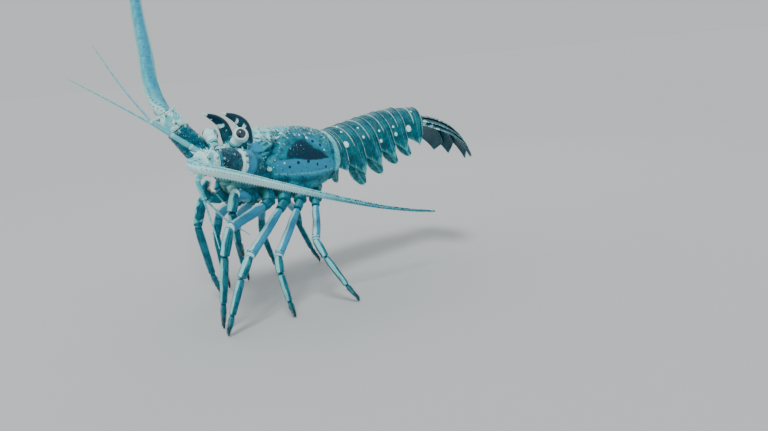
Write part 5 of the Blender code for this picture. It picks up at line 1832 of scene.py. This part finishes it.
    def build_bristles(self, palette: Palette, dactyl: Podomere, propodus: Podomere, up: Array) -> None:
        """Make the rows of bristles along the last two lengths."""
        draw = np.random.default_rng(300 + 10 * self.number + int(self.side.value))
        brush = Piece(f"leg_{self.number}_{self.side.label}_bristles")
        patches = []
        for length, low, high, count, size in (
            (dactyl, 0.12, 0.86, 330, 0.0017), (propodus, 0.62, 0.95, 90, 0.0012)
        ):
            points, _, _ = length.skin(up)
            rows, columns = points.shape[:2]
            share = draw.uniform(low, high, count)
            lane = draw.integers(0, 6, count) / 6.0 + draw.normal(0.0, 0.012, count)
            row = (share * (rows - 1)).astype(int)
            column = (lane * columns).astype(int) % columns
            roots = points[row, column]
            centre = points[row].mean(axis=1)
            ahead = points[np.minimum(row + 1, rows - 1)].mean(axis=1)
            heading = unit(ahead - points[np.maximum(row - 1, 0)].mean(axis=1))
            leans = unit(roots - centre) * 0.6 + heading * 0.8
            lengths = size * draw.uniform(0.6, 1.1, count)
            lengths = np.minimum(lengths, np.maximum(roots[:, 2] - 0.0003, 0.0004))
            offset = 0.0 if length is dactyl else 0.5
            unwrap = np.stack([offset + 0.5 * share, lane % 1.0], axis=-1)
            patches.append(hairs(brush, roots, leans, lengths, 0.00010, heading * 0.15, unwrap))
        settle(brush.finished(palette.bristle, np.concatenate(patches)), Slot.LEG)


@dataclass
class Maxilliped:
    """The leg-like limb folded beside the mouth, with its brush of bristles."""

    side: Side
    path: tuple = (
        (-0.0820, -0.0045, -0.0215),
        (-0.0870, -0.0095, -0.0300),
        (-0.0970, -0.0115, -0.0290),
        (-0.1035, -0.0095, -0.0215),
        (-0.1010, -0.0060, -0.0155),
    )
    radii: tuple = (0.0036, 0.0036, 0.0032, 0.0024, 0.0012)

    def build(self, palette: Palette) -> None:
        """Make the limb in four overlapping lengths, and its bristles."""
        path = BODY.place(np.array(self.path) * [1.0, -self.side.value, 1.0])
        radii = np.array(self.radii)
        up = ACROSS
        limb = Piece(f"maxilliped_{self.side.label}_shell")
        brush = Piece(f"maxilliped_{self.side.label}_bristles")
        draw = np.random.default_rng(410)
        patches = []
        for index in range(4):
            stations = np.array([path[index], (path[index] + path[index + 1]) / 2.0, path[index + 1]])
            middle = (radii[index] + radii[index + 1]) / 2.0
            sizes = np.array([radii[index] * 0.96, middle * 1.04, radii[index + 1]])
            length = Podomere(stations, sizes, 50, 40, 0.05, 0.05, 0.08, 0.10, 0.10)
            points, share, angle = length.skin(up)
            joint = ramp(share, 0.88, 0.95)
            stripe = ramp(np.cos(2.0 * angle), 0.3, 0.8) * band(share, 0.1, 0.85, 0.05)
            plain = 1.0 - stripe
            limb.add(points, pale=0.6 * stripe, cream=0.35 * joint, violet=0.15 * plain, dark=0.25 * plain)
            if index == 0:
                continue
            count = 150
            row = draw.integers(6, 46, count)
            column = (draw.normal(20.0, 4.0, count)).astype(int) % 40
            roots = points[row, column]
            heading = unit(stations[2] - stations[0])
            leans = unit(roots - points[row].mean(axis=1)) + heading * 0.7
            unwrap = np.stack([index / 4.0 + row / 220.0, column / 40.0], axis=-1)
            lengths = draw.uniform(0.0018, 0.0032, count)
            patches.append(hairs(brush, roots, leans, lengths, 0.00010, heading * 0.3, unwrap))
        settle(limb.finished(palette.leg), Slot.LEG, f"maxilliped_{self.side.label}")
        settle(brush.finished(palette.bristle, np.concatenate(patches)), Slot.LEG)


@dataclass
class Tail:
    """The six rings of the tail with their side lobes and swimmerets, and the fan."""

    segments: tuple = (
        (0.0115, 0.0238, 0.0202, 0.0125),
        (0.0195, 0.0245, 0.0208, 0.0205),
        (0.0180, 0.0240, 0.0204, 0.0205),
        (0.0168, 0.0230, 0.0196, 0.0200),
        (0.0155, 0.0216, 0.0186, 0.0190),
        (0.0178, 0.0202, 0.0172, 0.0150),
    )
    end_size: tuple = (0.0178, 0.0140)
    yaws: tuple = (2.0, 6.0, 10.0, 15.0, 19.0, 23.0)
    pitches: tuple = (3.0, 9.0, 12.0, 12.0, 9.0, 2.0)
    belly: float = -0.0065
    lobe_thickness: float = 0.0020
    fan_start_pitch: float = 10.0
    fan_end_pitch: float = 88.0
    fan_root_height: float = 0.0065
    fan_curl_length: float = 0.060
    fan_side_droop: float = 0.22
    fan_thickness: float = 0.0009
    blades: tuple = (
        ("telson", 0.0, 0.0, 0.060, 0.0140, 0.0),
        ("uropod_left_inner", -13.0, -0.0085, 0.057, 0.0130, 0.0024),
        ("uropod_right_inner", 13.0, 0.0085, 0.057, 0.0130, 0.0024),
        ("uropod_left_outer", -26.0, -0.0120, 0.056, 0.0140, 0.0048),
        ("uropod_right_outer", 26.0, 0.0120, 0.056, 0.0140, 0.0048),
    )
    spots: tuple = (
        (1, 0.10, 0.13, 0.0026), (5, 0.16, 0.02, 0.0024), (4, 0.22, 0.005, 0.0014), (3, 0.14, 0.005, 0.0014),
        (1, 0.50, 0.43, 0.0010), (1, 0.30, 0.30, 0.0010), (2, 0.25, 0.27, 0.0009), (2, 0.20, 0.13, 0.0011),
        (3, 0.25, 0.12, 0.0010), (4, 0.20, 0.10, 0.0010), (5, 0.60, 0.30, 0.0010),
    )
    leaf: tuple = (
        (0.0, 0.0026), (0.25, 0.0052), (0.55, 0.0068), (0.8, 0.0050), (0.93, 0.0030), (1.0, 0.0008),
    )
    blade_outline: tuple = ((0.0, 0.50), (0.2, 0.78), (0.55, 1.0), (0.85, 0.86), (1.0, 0.42))
    rows: int = 84

    @staticmethod
    def frame(yaw: float, pitch: float) -> Array:
        """Give a frame whose X runs back along the tail: yaw about Z, then pitch about Y."""
        turn = Matrix.Rotation(-math.radians(yaw), 3, "Z")
        return np.array(turn @ Matrix.Rotation(-math.radians(pitch), 3, "Y"))

    def joints(self) -> list[tuple[Array, Array]]:
        """Give place and frame of every joint from the carapace to the fan."""
        body_pitch = -math.degrees(BODY.pitch)
        yaws = (0.0, *self.yaws, self.yaws[-1] + 2.0)
        pitches = (body_pitch, *self.pitches, self.pitches[-1] - self.fan_start_pitch)
        place = BODY.place(np.array([GAP, 0.0, 0.0]))
        made = [(place, self.frame(0.0, body_pitch))]
        for index, segment in enumerate(self.segments):
            frame = self.frame(yaws[index + 1], pitches[index + 1])
            place = place + frame @ np.array([segment[0], 0.0, 0.0])
            yaw = (yaws[index + 1] + yaws[index + 2]) / 2.0
            pitch = (pitches[index + 1] + pitches[index + 2]) / 2.0
            made.append((place, self.frame(yaw, pitch)))
        return made

    def sizes(self, index: int, share: Array) -> tuple[Array, Array, Array]:
        """Give half width, height and lobe drop at shares of one segment's length."""
        _, half_width, top, lobe = self.segments[index]
        following = self.segments[index + 1][1:3] if index + 1 < len(self.segments) else self.end_size
        width = half_width + (following[0] - half_width) * share * 0.8
        height = top + (following[1] - top) * share * 0.8
        tuck = 0.955 + 0.045 * np.minimum(share / 0.30, 1.0) - 0.020 * hump(share, 0.48, 0.06)
        peak = 0.66
        rise = np.where(share < peak, share / peak, (1.0 - share) / (1.0 - peak))
        rear = (0.5 + 0.5 * share) / (0.5 + 0.5 * peak)
        drop = 0.0078 + (lobe - 0.0078) * np.maximum(rise, 0.0) ** 0.8 * rear * 0.98
        return width * tuck, height * tuck, drop

    def section(self, half_width: Array, top: Array, drop: Array) -> tuple[Array, Array]:
        """Give every row's closed outline as (side, height) with its place round it.

        The back is minus half width times the cosine of an angle, and its height the
        sine to the power 0.9. Each lobe hangs from it and turns up inside to the
        belly. A smooth line goes through these marks.

        Args:
            half_width: One number for each row.
            top: The height over the axis.
            drop: How far the side lobes hang down.

        Returns:
            The outline, rows by columns by 2, and the mark number of each column.
        """
        angle = math.pi * np.arange(15)[:, None] / 14
        arch_y = -half_width * np.cos(angle)
        arch_z = -0.002 + (top + 0.002) * np.sin(angle) ** 0.9
        lobe_y = np.stack([-half_width * 0.975, -half_width * 0.995])
        lobe_z = np.stack([-drop, -0.002 - (drop - 0.002) * 0.5])
        inner = half_width * 0.975 - self.lobe_thickness
        wall = inner - 0.0008
        zero = np.zeros_like(inner)
        under_y = np.stack([inner, wall, zero, -wall, -inner])
        under_z = np.stack([-drop, zero + self.belly, zero + self.belly - 0.001, zero + self.belly, -drop])
        y = np.concatenate([lobe_y, arch_y, -lobe_y[::-1], under_y])
        z = np.concatenate([lobe_z, arch_z, lobe_z[::-1], under_z])
        marks = np.stack([y, z], axis=-1)
        count = len(marks)
        tight = np.concatenate([marks[-2:], marks, marks[:3]])
        places = np.arange(-2, count + 3)
        at = np.concatenate([np.arange(0.0, 2.0, 1.0 / 10), np.linspace(2.0, 16.0, 112, endpoint=False)])
        at = np.concatenate([at, np.arange(16.0, count, 1.0 / 10)])
        return np.swapaxes(smooth(places, tight, at), 0, 1), at

    def build(self, palette: Palette) -> None:
        """Make every ring, the swimmerets and the fan."""
        joints = self.joints()
        for index in range(len(self.segments)):
            self.build_segment(palette, index, joints)
        for name, *sizes in self.blades:
            self.build_blade(palette, name, sizes, joints[-1])
        self.build_fringes(palette)

    def build_segment(self, palette: Palette, index: int, joints: list) -> None:
        """Make one ring.

        Its outline is carried from joint to joint while the frame turns evenly. A
        sharp groove runs across the middle, the rear edge has a raised rim, and the
        lobes' rear edges are toothed.

        Args:
            palette: The finishes.
            index: Which ring, from 0 behind the carapace.
            joints: Place and frame of every joint.
        """
        (place, frame), (next_place, next_frame) = joints[index], joints[index + 1]
        share = np.linspace(0.0, 1.0, self.rows)
        half_width, top, drop = self.sizes(index, share)
        teeth = np.abs(np.sin(share * 26.0)) * band(share, 0.62, 0.93, 0.03)
        outline, at = self.section(half_width, top, drop + 0.0007 * teeth * (index > 0))
        blended = frame + (next_frame - frame) * share[:, None, None]
        x_axis = unit(blended[:, :, 0])
        z_axis = unit(blended[:, :, 2] - x_axis * (blended[:, :, 2] * x_axis).sum(axis=1, keepdims=True))
        y_axis = np.cross(z_axis, x_axis)
        sweep = 0.0025 * (1.0 - np.abs(share - 0.6) / 0.6) * (share > 0.0) * (share < 1.0)
        back = sweep[:, None] * np.maximum(0.0, -outline[..., 1] - 0.004) / np.maximum(drop, 0.004)[:, None]
        middle = place + (next_place - place) * share[:, None]
        half = GAP / 2.0
        middle = middle + x_axis * (half * (index > 0) * (1.0 - share) - half * share)[:, None]
        points = (
            middle[:, None] + x_axis[:, None] * back[..., None]
            + y_axis[:, None] * outline[..., :1] + z_axis[:, None] * outline[..., 1:]
        )
        outer = band(at, 0.0, 18.0, 0.6)[None]
        arch = np.clip((at - 2.0) / 14.0, 0.0, 1.0)[None]
        cut = share[:, None]
        low = np.minimum(arch, 1.0 - arch)
        rise = -0.0006 * hump(cut, 0.47, 0.020) * ramp(low, 0.03, 0.10) + 0.00045 * hump(cut, 0.535, 0.030)
        rise = rise + 0.00045 * hump(cut, 0.965, 0.020) - 0.0004 * hump(cut, 0.91, 0.018)
        rise = rise * outer * (index > 0) + 0.00012 * wander(points, 0.006, 101 + index) * outer
        points = points + grid_normals(points) * rise[..., None]
        masks = self.segment_painting(index, points, share, at, half_width, top)
        ring = Piece(f"tail_segment_{index + 1}_shell")
        ring.add(points, **masks)
        if 1 <= index <= 4:
            size = 0.029 - 0.0022 * (index - 1)
            for side in Side:
                self.add_swimmeret(ring, (place + next_place) / 2.0, frame, side, size)
        settle(ring.finished(palette.tail), Slot.TAIL, f"tail_segment_{index + 1}")

    def segment_painting(
        self, index: int, points: Array, share: Array, at: Array, half_width: Array, top: Array
    ) -> dict[str, Array]:
        """Give one ring's masks: pale groove and rear rim, spots, dark front, pale lobes."""
        cut = share[:, None]
        arch = np.clip((at - 2.0) / 14.0, 0.0, 1.0)[None]
        low = np.minimum(arch, 1.0 - arch)
        side = ((7.0 - np.abs(at - 9.0)) / 14.0)[None]
        outer = band(at, 0.0, 18.0, 0.5)[None]
        drift = 0.04 * wander(points, 0.012, 111 + index)
        lobe = ramp(np.abs(at - 9.0), 6.6, 7.6)[None]
        rim = ramp(cut, 0.935, 0.965) * outer
        line = hump(cut, 0.505, 0.022) * outer * ramp(low, 0.02, 0.06)
        wave = 0.012 * np.sin(at * 1.9 + index)[None]
        thin = hump(cut + wave, 0.30, 0.012) + 0.8 * hump(cut - wave, 0.68, 0.012)
        thin = (thin + 0.6 * hump(cut, 0.80, 0.012)) * outer
        cream = 0.52 * rim + 0.66 * line * (1.0 - 0.8 * ramp(-side, -0.14, 0.0))
        length = self.segments[index][0]
        girth = math.pi * (half_width.mean() + top.mean()) / 2.0
        for wanted, spot_share, spot_low, radius in self.spots:
            if wanted != index:
                continue
            apart = np.hypot((cut - spot_share) * length, (side - spot_low) * girth)
            cream = cream + outer * ramp(-apart, -1.25 * radius, -0.75 * radius)
        front = 1.0 - ramp(cut + drift, 0.36, 0.50)
        hem = lobe * outer * ramp(np.abs(at - 9.0), 8.0, 8.8)[None]
        belly = 1.0 - outer
        return {
            "cream": np.clip(cream, 0.0, 1.0),
            "pale": np.clip(
                0.44 * thin + 0.18 * band(cut, 0.55, 0.90, 0.05) * outer + 0.32 * hem + 0.55 * belly, 0.0, 1.0
            ),
            "dark": np.clip(
                (0.26 * front + 0.22 * lobe * (1.0 - hem) + 0.50 * hump(cut, 0.915, 0.020)) * outer, 0.0, 1.0
            ),
            "violet": np.clip(
                0.3 * lobe * outer * (1.0 - hem) + 0.15 * ramp(drift * 25.0, 0.2, 0.8), 0.0, 1.0
            ),
        }

    def add_swimmeret(self, ring: Piece, joint: Array, frame: Array, side: Side, size: float) -> None:
        """Add one leaf under a ring.

        Its half width is a smooth line of the share down it. Across it is a thin lens,
        with a midrib and fine veins raised as cosine waves, and a slight wave of the
        whole leaf.
        """
        rows, half_count = 56, 26
        share = np.linspace(0.0, 1.0, rows)
        root = joint + frame @ np.array([0.0, side.value * 0.0125, self.belly + 0.003])
        down = frame @ unit(np.array([0.10, side.value * 0.16, -1.0]))
        broad = frame @ unit(np.array([1.0, side.value * 0.25, 0.12]))
        thick = unit(np.cross(down, broad))
        broad = unit(np.cross(thick, down))
        places, halves = zip(*self.leaf)
        half = smooth(places, halves, share)
        half = half * size / 0.028
        across = np.cos(math.pi * np.arange(half_count + 1) / half_count)
        lens = np.sqrt(np.clip(1.0 - across**2, 0.0, 1.0))
        vein = 0.10 * np.cos((across[None] * 9.0 + share[:, None] * 6.0) * math.pi)
        vein = vein + 0.5 * hump(across, 0.0, 0.09)
        depth = (0.0009 - 0.0004 * share)[:, None] * (lens[None] * (0.62 + 0.3 * vein) + 0.02)
        wave = 0.0012 * np.sin(share * 5.0)[:, None] * across[None] ** 2
        centre = root + down * (size * share)[:, None] + broad * (0.004 * share**2)[:, None]
        sheet = centre[:, None] + broad * (half[:, None] * across)[..., None]
        upper = sheet + thick * (wave + depth)[..., None]
        lower = sheet + thick * (wave - depth)[..., None]
        points = np.concatenate([upper, lower[:, -2:0:-1]], axis=1)
        mirrored = np.concatenate([across, across[-2:0:-1]])[None]
        edge = np.maximum(ramp(np.abs(mirrored), 0.78, 0.95), ramp(share, 0.90, 0.97)[:, None])
        rib = hump(mirrored, 0.0, 0.10)
        ring.add(points, cream=0.7 * edge, pale=0.38 + 0.25 * rib)

    def bent(self, place: Array, frame: Array, flat: Array) -> Array:
        """Bend flat fan points down: x and z become an arc of the fan's radius."""
        total = math.radians(self.fan_end_pitch - self.fan_start_pitch)
        radius = self.fan_curl_length / total
        angle = flat[..., 0] / radius
        reach = radius + flat[..., 2]
        local = np.stack([reach * np.sin(angle), flat[..., 1], reach * np.cos(angle) - radius], axis=-1)
        return place + local @ frame.T

    def blade_points(self, sizes: list, joint: tuple, share: Array, across: Array, lift: Array) -> Array:
        """Give points of a blade's middle sheet, lifted off it by a distance.

        Args:
            sizes: Heading, offset, length, half width and depth of the layer.
            joint: Place and frame of the tail's end.
            share: How far along the blade.
            across: From -1 to 1 over its width.
            lift: How far above the sheet.

        Returns:
            The points on the bent fan.
        """
        heading, offset, length, half_width, layer = sizes
        turn = math.radians(heading)
        half = half_width * smooth(*zip(*self.blade_outline), share)
        along = share * length * (1.0 - 0.10 * np.abs(across) * share) + GAP / 2.0
        side = half * across
        x = along * math.cos(turn) - side * math.sin(turn) * np.minimum(share * 4.0, 1.0)
        y = offset + along * math.sin(turn) + side * math.cos(turn)
        z = self.fan_root_height - self.fan_side_droop * np.maximum(0.0, np.abs(y) - 0.010) - layer
        return self.bent(*joint, np.stack([x, y, z + lift], axis=-1))

    def build_blade(self, palette: Palette, name: str, sizes: list, joint: tuple) -> None:
        """Make the telson or one blade: a thin sheet with ribs that fan out from its root."""
        rows, count = 110, 76
        share, across = np.meshgrid(np.linspace(0.0, 1.0, rows), np.linspace(-1.0, 1.0, count), indexing="ij")
        thick = self.fan_thickness * (0.60 + 0.40 * (1.0 - share) ** 2)
        thick = thick * (0.55 + 0.45 * np.sqrt(np.clip(1.0 - across**2, 0.0, 1.0)))
        soft = ramp(share, 0.34, 0.50)
        ribs = 0.00016 * np.cos(across * 46.0) * soft * (1.0 - ramp(share, 0.93, 1.0))
        keel = 0.00045 * (hump(across, -0.30, 0.07) + hump(across, 0.30, 0.07)) * (1.0 - soft)
        hem = -0.15 * thick * ramp(share, 0.96, 1.0)
        upper = self.blade_points(sizes, joint, share, across, thick + ribs + keel + hem)
        lower = self.blade_points(sizes, joint, share, across, -thick + ribs * 0.6 - hem)
        points = np.concatenate([upper, lower[:, ::-1]], axis=1)
        share, across = (np.concatenate([grid, grid[:, ::-1]], axis=1) for grid in (share, across))
        edge = np.maximum(ramp(np.abs(across), 0.93, 0.99), ramp(share, 0.970, 0.992))
        root_spots = ramp(wander(points, 0.010, 131), 0.25, 0.5) * (1.0 - ramp(share, 0.30, 0.45))
        streak = ramp(np.cos(across * 46.0), 0.2, 0.8) * ramp(share, 0.34, 0.5)
        blade = Piece(f"{name}_skin")
        blade.add(
            points,
            cream=np.clip(0.34 * edge + 0.5 * root_spots, 0.0, 1.0),
            dark=0.56 * (1.0 - streak * 0.35) * (1.0 - edge),
            violet=0.15 * streak,
            pale=0.15 * streak + 0.25 * hump(share, 0.40, 0.05),
        )
        spine_share = np.linspace(0.10, 0.42, 6)
        for sign in (-1.0, 1.0):
            edge_across = np.full(6, sign * 0.985)
            flat = np.zeros(6)
            roots = self.blade_points(sizes, joint, spine_share, edge_across, flat)
            ahead = self.blade_points(sizes, joint, spine_share + 0.02, edge_across, flat)
            aside = self.blade_points(sizes, joint, spine_share, edge_across * 0.9, flat)
            leans = unit(ahead - roots) * 0.8 + unit(roots - aside) * 0.5
            thorns(blade, roots, leans, 0.0015, 0.00042, unit(ahead - roots) * 0.1, sides=6, rows=4)
        settle(blade.finished(palette.tail), Slot.TAIL, name)

    def build_fringes(self, palette: Palette) -> None:
        """Make the soft fringes at the fan's rear edges."""
        joint = self.joints()[-1]
        fringe = Piece("fan_fringe")
        draw = np.random.default_rng(500)
        patches = []
        count = 300
        for order, (_, *sizes) in enumerate(self.blades):
            across = np.linspace(-0.98, 0.98, count)
            share = np.full(count, 0.992)
            lift = draw.uniform(-0.0003, 0.0003, count)
            roots = self.blade_points(sizes, joint, share, across, lift)
            before = self.blade_points(sizes, joint, share - 0.03, across, lift)
            leans = unit(roots - before) + draw.normal(0.0, 0.05, roots.shape)
            unwrap = np.stack([0.1 + 0.8 * (across + 1.0) / 2.0, np.full(count, 0.1 + 0.18 * order)], axis=-1)
            lengths = draw.uniform(0.0009, 0.0016, count)
            patches.append(hairs(fringe, roots, leans, lengths, 0.00011, leans * 0.05, unwrap))
        settle(fringe.finished(palette.bristle, np.concatenate(patches)), Slot.TAIL)


@dataclass
class Studio:
    """Floor, soft light and the camera at the photo's view."""

    eye: tuple = (-0.374106, -0.574626, 0.178597)
    forward: tuple = (0.6939, 0.6909, -0.2031)
    right: tuple = (0.6879, -0.7193, -0.0967)
    lens: float = 36.0 * 747.0 / 768.0
    floor_half: float = 40.0
    floor_colour: Colour = (0.525, 0.54, 0.545)
    world_colour: Colour = (0.94, 0.98, 1.00)
    world_strength: float = 0.67
    suns: tuple = (("key", (-0.45, -0.50, 0.95), 14.0, 1.95), ("fill", (-0.20, 0.65, 0.70), 60.0, 0.40))
    panels: tuple = (
        ("side_panel", (-0.75, -0.10, 0.55), 0.45, 0.5), ("rear_panel", (0.60, 0.30, 0.60), 0.45, 0.5),
    )

    def build(self) -> None:
        """Make the stage, the lamps and the camera."""
        self.build_floor()
        self.build_lights()
        self.build_camera()

    def build_floor(self) -> None:
        """Make the pale floor: a flat grid whose far edge is out of sight."""
        across = np.linspace(-self.floor_half, self.floor_half, 9)
        x, y = np.meshgrid(across, across, indexing="ij")
        points = np.stack([x, y, np.zeros_like(x)], axis=-1).reshape(-1, 3)
        index = np.arange(81).reshape(9, 9)
        quads = np.stack([index[:-1, :-1], index[1:, :-1], index[1:, 1:], index[:-1, 1:]], axis=-1)
        mesh = bpy.data.meshes.new("floor")
        mesh.from_pydata(points.tolist(), [], quads.reshape(-1, 4).tolist())
        made, tree, shader, place = new_material("floor_finish")
        tone = tuple(part * 0.97 for part in self.floor_colour)
        colour = blend_colours(tree, clouds_of(tree, place, 9.0, 4.0), self.floor_colour, tone)
        tree.links.new(colour, shader.inputs["Base Color"])
        shader.inputs["Roughness"].default_value = 0.85
        mesh.materials.append(made)
        floor = bpy.data.objects.new("floor", mesh)
        bpy.context.scene.collection.objects.link(floor)

    def build_lights(self) -> None:
        """Make the broad suns, two faint panels for the shell's sheen, and a pale surround."""
        for name, place, spread, strength in self.suns:
            lamp = bpy.data.lights.new(name, "SUN")
            lamp.angle = math.radians(spread)
            lamp.energy = strength
            self.aim(name, lamp, place)
        for name, place, size, power in self.panels:
            lamp = bpy.data.lights.new(name, "AREA")
            lamp.shape = "DISK"
            lamp.size = size
            lamp.energy = power
            self.aim(name, lamp, place)
        world = bpy.data.worlds.new("surround")
        world.use_nodes = True
        background = world.node_tree.nodes["Background"]
        background.inputs["Color"].default_value = (*self.world_colour, 1.0)
        background.inputs["Strength"].default_value = self.world_strength
        bpy.context.scene.world = world

    @staticmethod
    def aim(name: str, lamp: bpy.types.Light, place: tuple) -> None:
        """Put a lamp in its place, turned to the animal."""
        made = bpy.data.objects.new(name, lamp)
        toward = unit(np.array([0.0, -0.05, 0.09]) - np.array(place))
        sideways, upward = cross_axes(toward, UP)
        turn = np.eye(4)
        turn[:3, :3] = np.stack([sideways, upward, -toward], axis=1)
        turn[:3, 3] = place
        made.matrix_world = Matrix(turn.tolist())
        bpy.context.scene.collection.objects.link(made)

    def build_camera(self) -> None:
        """Make the camera where the photo was taken from, with the same angle of view."""
        lens = bpy.data.cameras.new("camera")
        lens.sensor_width = 36.0
        lens.lens = self.lens
        lens.clip_start = 0.01
        lens.clip_end = 200.0
        made = bpy.data.objects.new("camera", lens)
        forward = unit(np.array(self.forward))
        right = unit(np.array(self.right) - forward * (np.array(self.right) @ forward))
        turn = np.eye(4)
        turn[:3, :3] = np.stack([right, np.cross(right, forward), -forward], axis=1)
        turn[:3, 3] = self.eye
        made.matrix_world = Matrix(turn.tolist())
        bpy.context.scene.collection.objects.link(made)
        bpy.context.scene.camera = made


LEFT_ANTENNA = Antenna(
    Side.LEFT,
    joints=(
        (-0.0700, -0.0168, -0.0055), (-0.0985, -0.0243, -0.0018), (-0.1215, -0.0330, -0.0005),
        (-0.1350, -0.0376, -0.0010),
    ),
    whip_points=(
        (-0.1400, -0.0394, -0.0012), (-0.1433, -0.0437, -0.0020), (-0.1424, -0.0492, -0.0034),
        (-0.1372, -0.0524, -0.0050), (-0.1280, -0.0530, -0.0070), (-0.0950, -0.0515, -0.0142),
        (-0.0610, -0.0500, -0.0217), (-0.0250, -0.0535, -0.0300), (0.0130, -0.0600, -0.0380),
        (0.0430, -0.0635, -0.0425), (0.0700, -0.0650, -0.0452),
    ),
    whip_radius=0.0040,
    tip_radius=0.0008,
    whip_nodes=("root", "tip"),
)
RIGHT_ANTENNA = Antenna(
    Side.RIGHT,
    joints=(
        (-0.0700, 0.0168, -0.0055), (-0.0935, 0.0261, 0.0030), (-0.1105, 0.0314, 0.0213),
        (-0.1180, 0.0346, 0.0335),
    ),
    whip_points=(
        (-0.1205, 0.0362, 0.0378), (-0.1205, 0.0455, 0.0500), (-0.1120, 0.0700, 0.0785),
        (-0.1020, 0.1000, 0.1160), (-0.0880, 0.1330, 0.1560), (-0.0690, 0.1690, 0.1970),
        (-0.0440, 0.2090, 0.2370), (-0.0120, 0.2520, 0.2740), (0.0250, 0.2950, 0.3050),
    ),
    whip_radius=0.0056,
    tip_radius=0.0009,
    whip_nodes=("root", "middle", "tip"),
)
ANTENNULES = (
    Antennule(
        Side.LEFT,
        stalk=(
            (-0.0900, -0.0048, -0.0080), (-0.1030, -0.0085, -0.0078), (-0.1160, -0.0125, -0.0095),
            (-0.1228, -0.0160, -0.0150), (-0.1200, -0.0200, -0.0275),
        ),
        tips=((-0.1173, -0.0320, -0.0600), (-0.0900, -0.0290, -0.0530)),
    ),
    Antennule(
        Side.RIGHT,
        stalk=(
            (-0.0900, 0.0048, -0.0030), (-0.1020, 0.0090, 0.0035), (-0.1120, 0.0115, 0.0095),
            (-0.1260, 0.0135, 0.0180), (-0.1410, 0.0150, 0.0270),
        ),
        tips=((-0.1790, 0.0150, 0.0745), (-0.1945, 0.0180, 0.0525)),
    ),
)
LEGS = (
    (Side.LEFT, 1, (-0.0755, -0.0055, -0.0250), (-0.1020, -0.0250, 0.0970), None, 0.0039),
    (Side.LEFT, 2, (-0.0625, -0.0065, -0.0258), (-0.1180, -0.0370, 0.0770), (-0.1190, -0.0140), 0.0036),
    (Side.LEFT, 3, (-0.0485, -0.0075, -0.0260), (-0.1085, -0.0420, 0.0550), (-0.1260, -0.0300), 0.0034),
    (Side.LEFT, 4, (-0.0340, -0.0085, -0.0260), (-0.0820, -0.0390, 0.0480), (-0.0760, -0.0420), 0.0032),
    (Side.LEFT, 5, (-0.0195, -0.0095, -0.0260), (-0.0470, -0.0410, 0.0520), (-0.0270, -0.0590), 0.0031),
    (Side.RIGHT, 1, (-0.0755, 0.0055, -0.0250), (-0.0980, 0.0240, 0.0905), (-0.0770, 0.0480), 0.0039),
    (Side.RIGHT, 2, (-0.0625, 0.0065, -0.0258), (-0.0700, 0.0480, 0.0700), (-0.0560, 0.0700), 0.0036),
    (Side.RIGHT, 3, (-0.0485, 0.0075, -0.0260), (-0.0470, 0.0560, 0.0620), (-0.0330, 0.0740), 0.0034),
    (Side.RIGHT, 4, (-0.0340, 0.0085, -0.0260), (-0.0250, 0.0540, 0.0580), (-0.0020, 0.0700), 0.0032),
    (Side.RIGHT, 5, (-0.0195, 0.0095, -0.0260), (0.0080, 0.0460, 0.0560), (0.0380, 0.0600), 0.0031),
)


def write_sizes() -> None:
    """Update the view layer."""
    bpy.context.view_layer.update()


def main() -> None:
    """Build the studio and every sub-assembly in order."""
    logging.basicConfig(level=logging.INFO, format="%(message)s")
    Studio().build()
    palette = Palette.mixed()
    Carapace().build(palette)
    Head().build(palette)
    Sternum().build(palette)
    for side in Side:
        Horn(side).build(palette)
        Eye(side).build(palette)
        Maxilliped(side).build(palette)
    LEFT_ANTENNA.build(palette)
    RIGHT_ANTENNA.build(palette)
    for antennule in ANTENNULES:
        antennule.build(palette)
    for leg in LEGS:
        WalkingLeg(*leg).build(palette)
    Tail().build(palette)
    write_sizes()


if __name__ == "__main__":
    main()
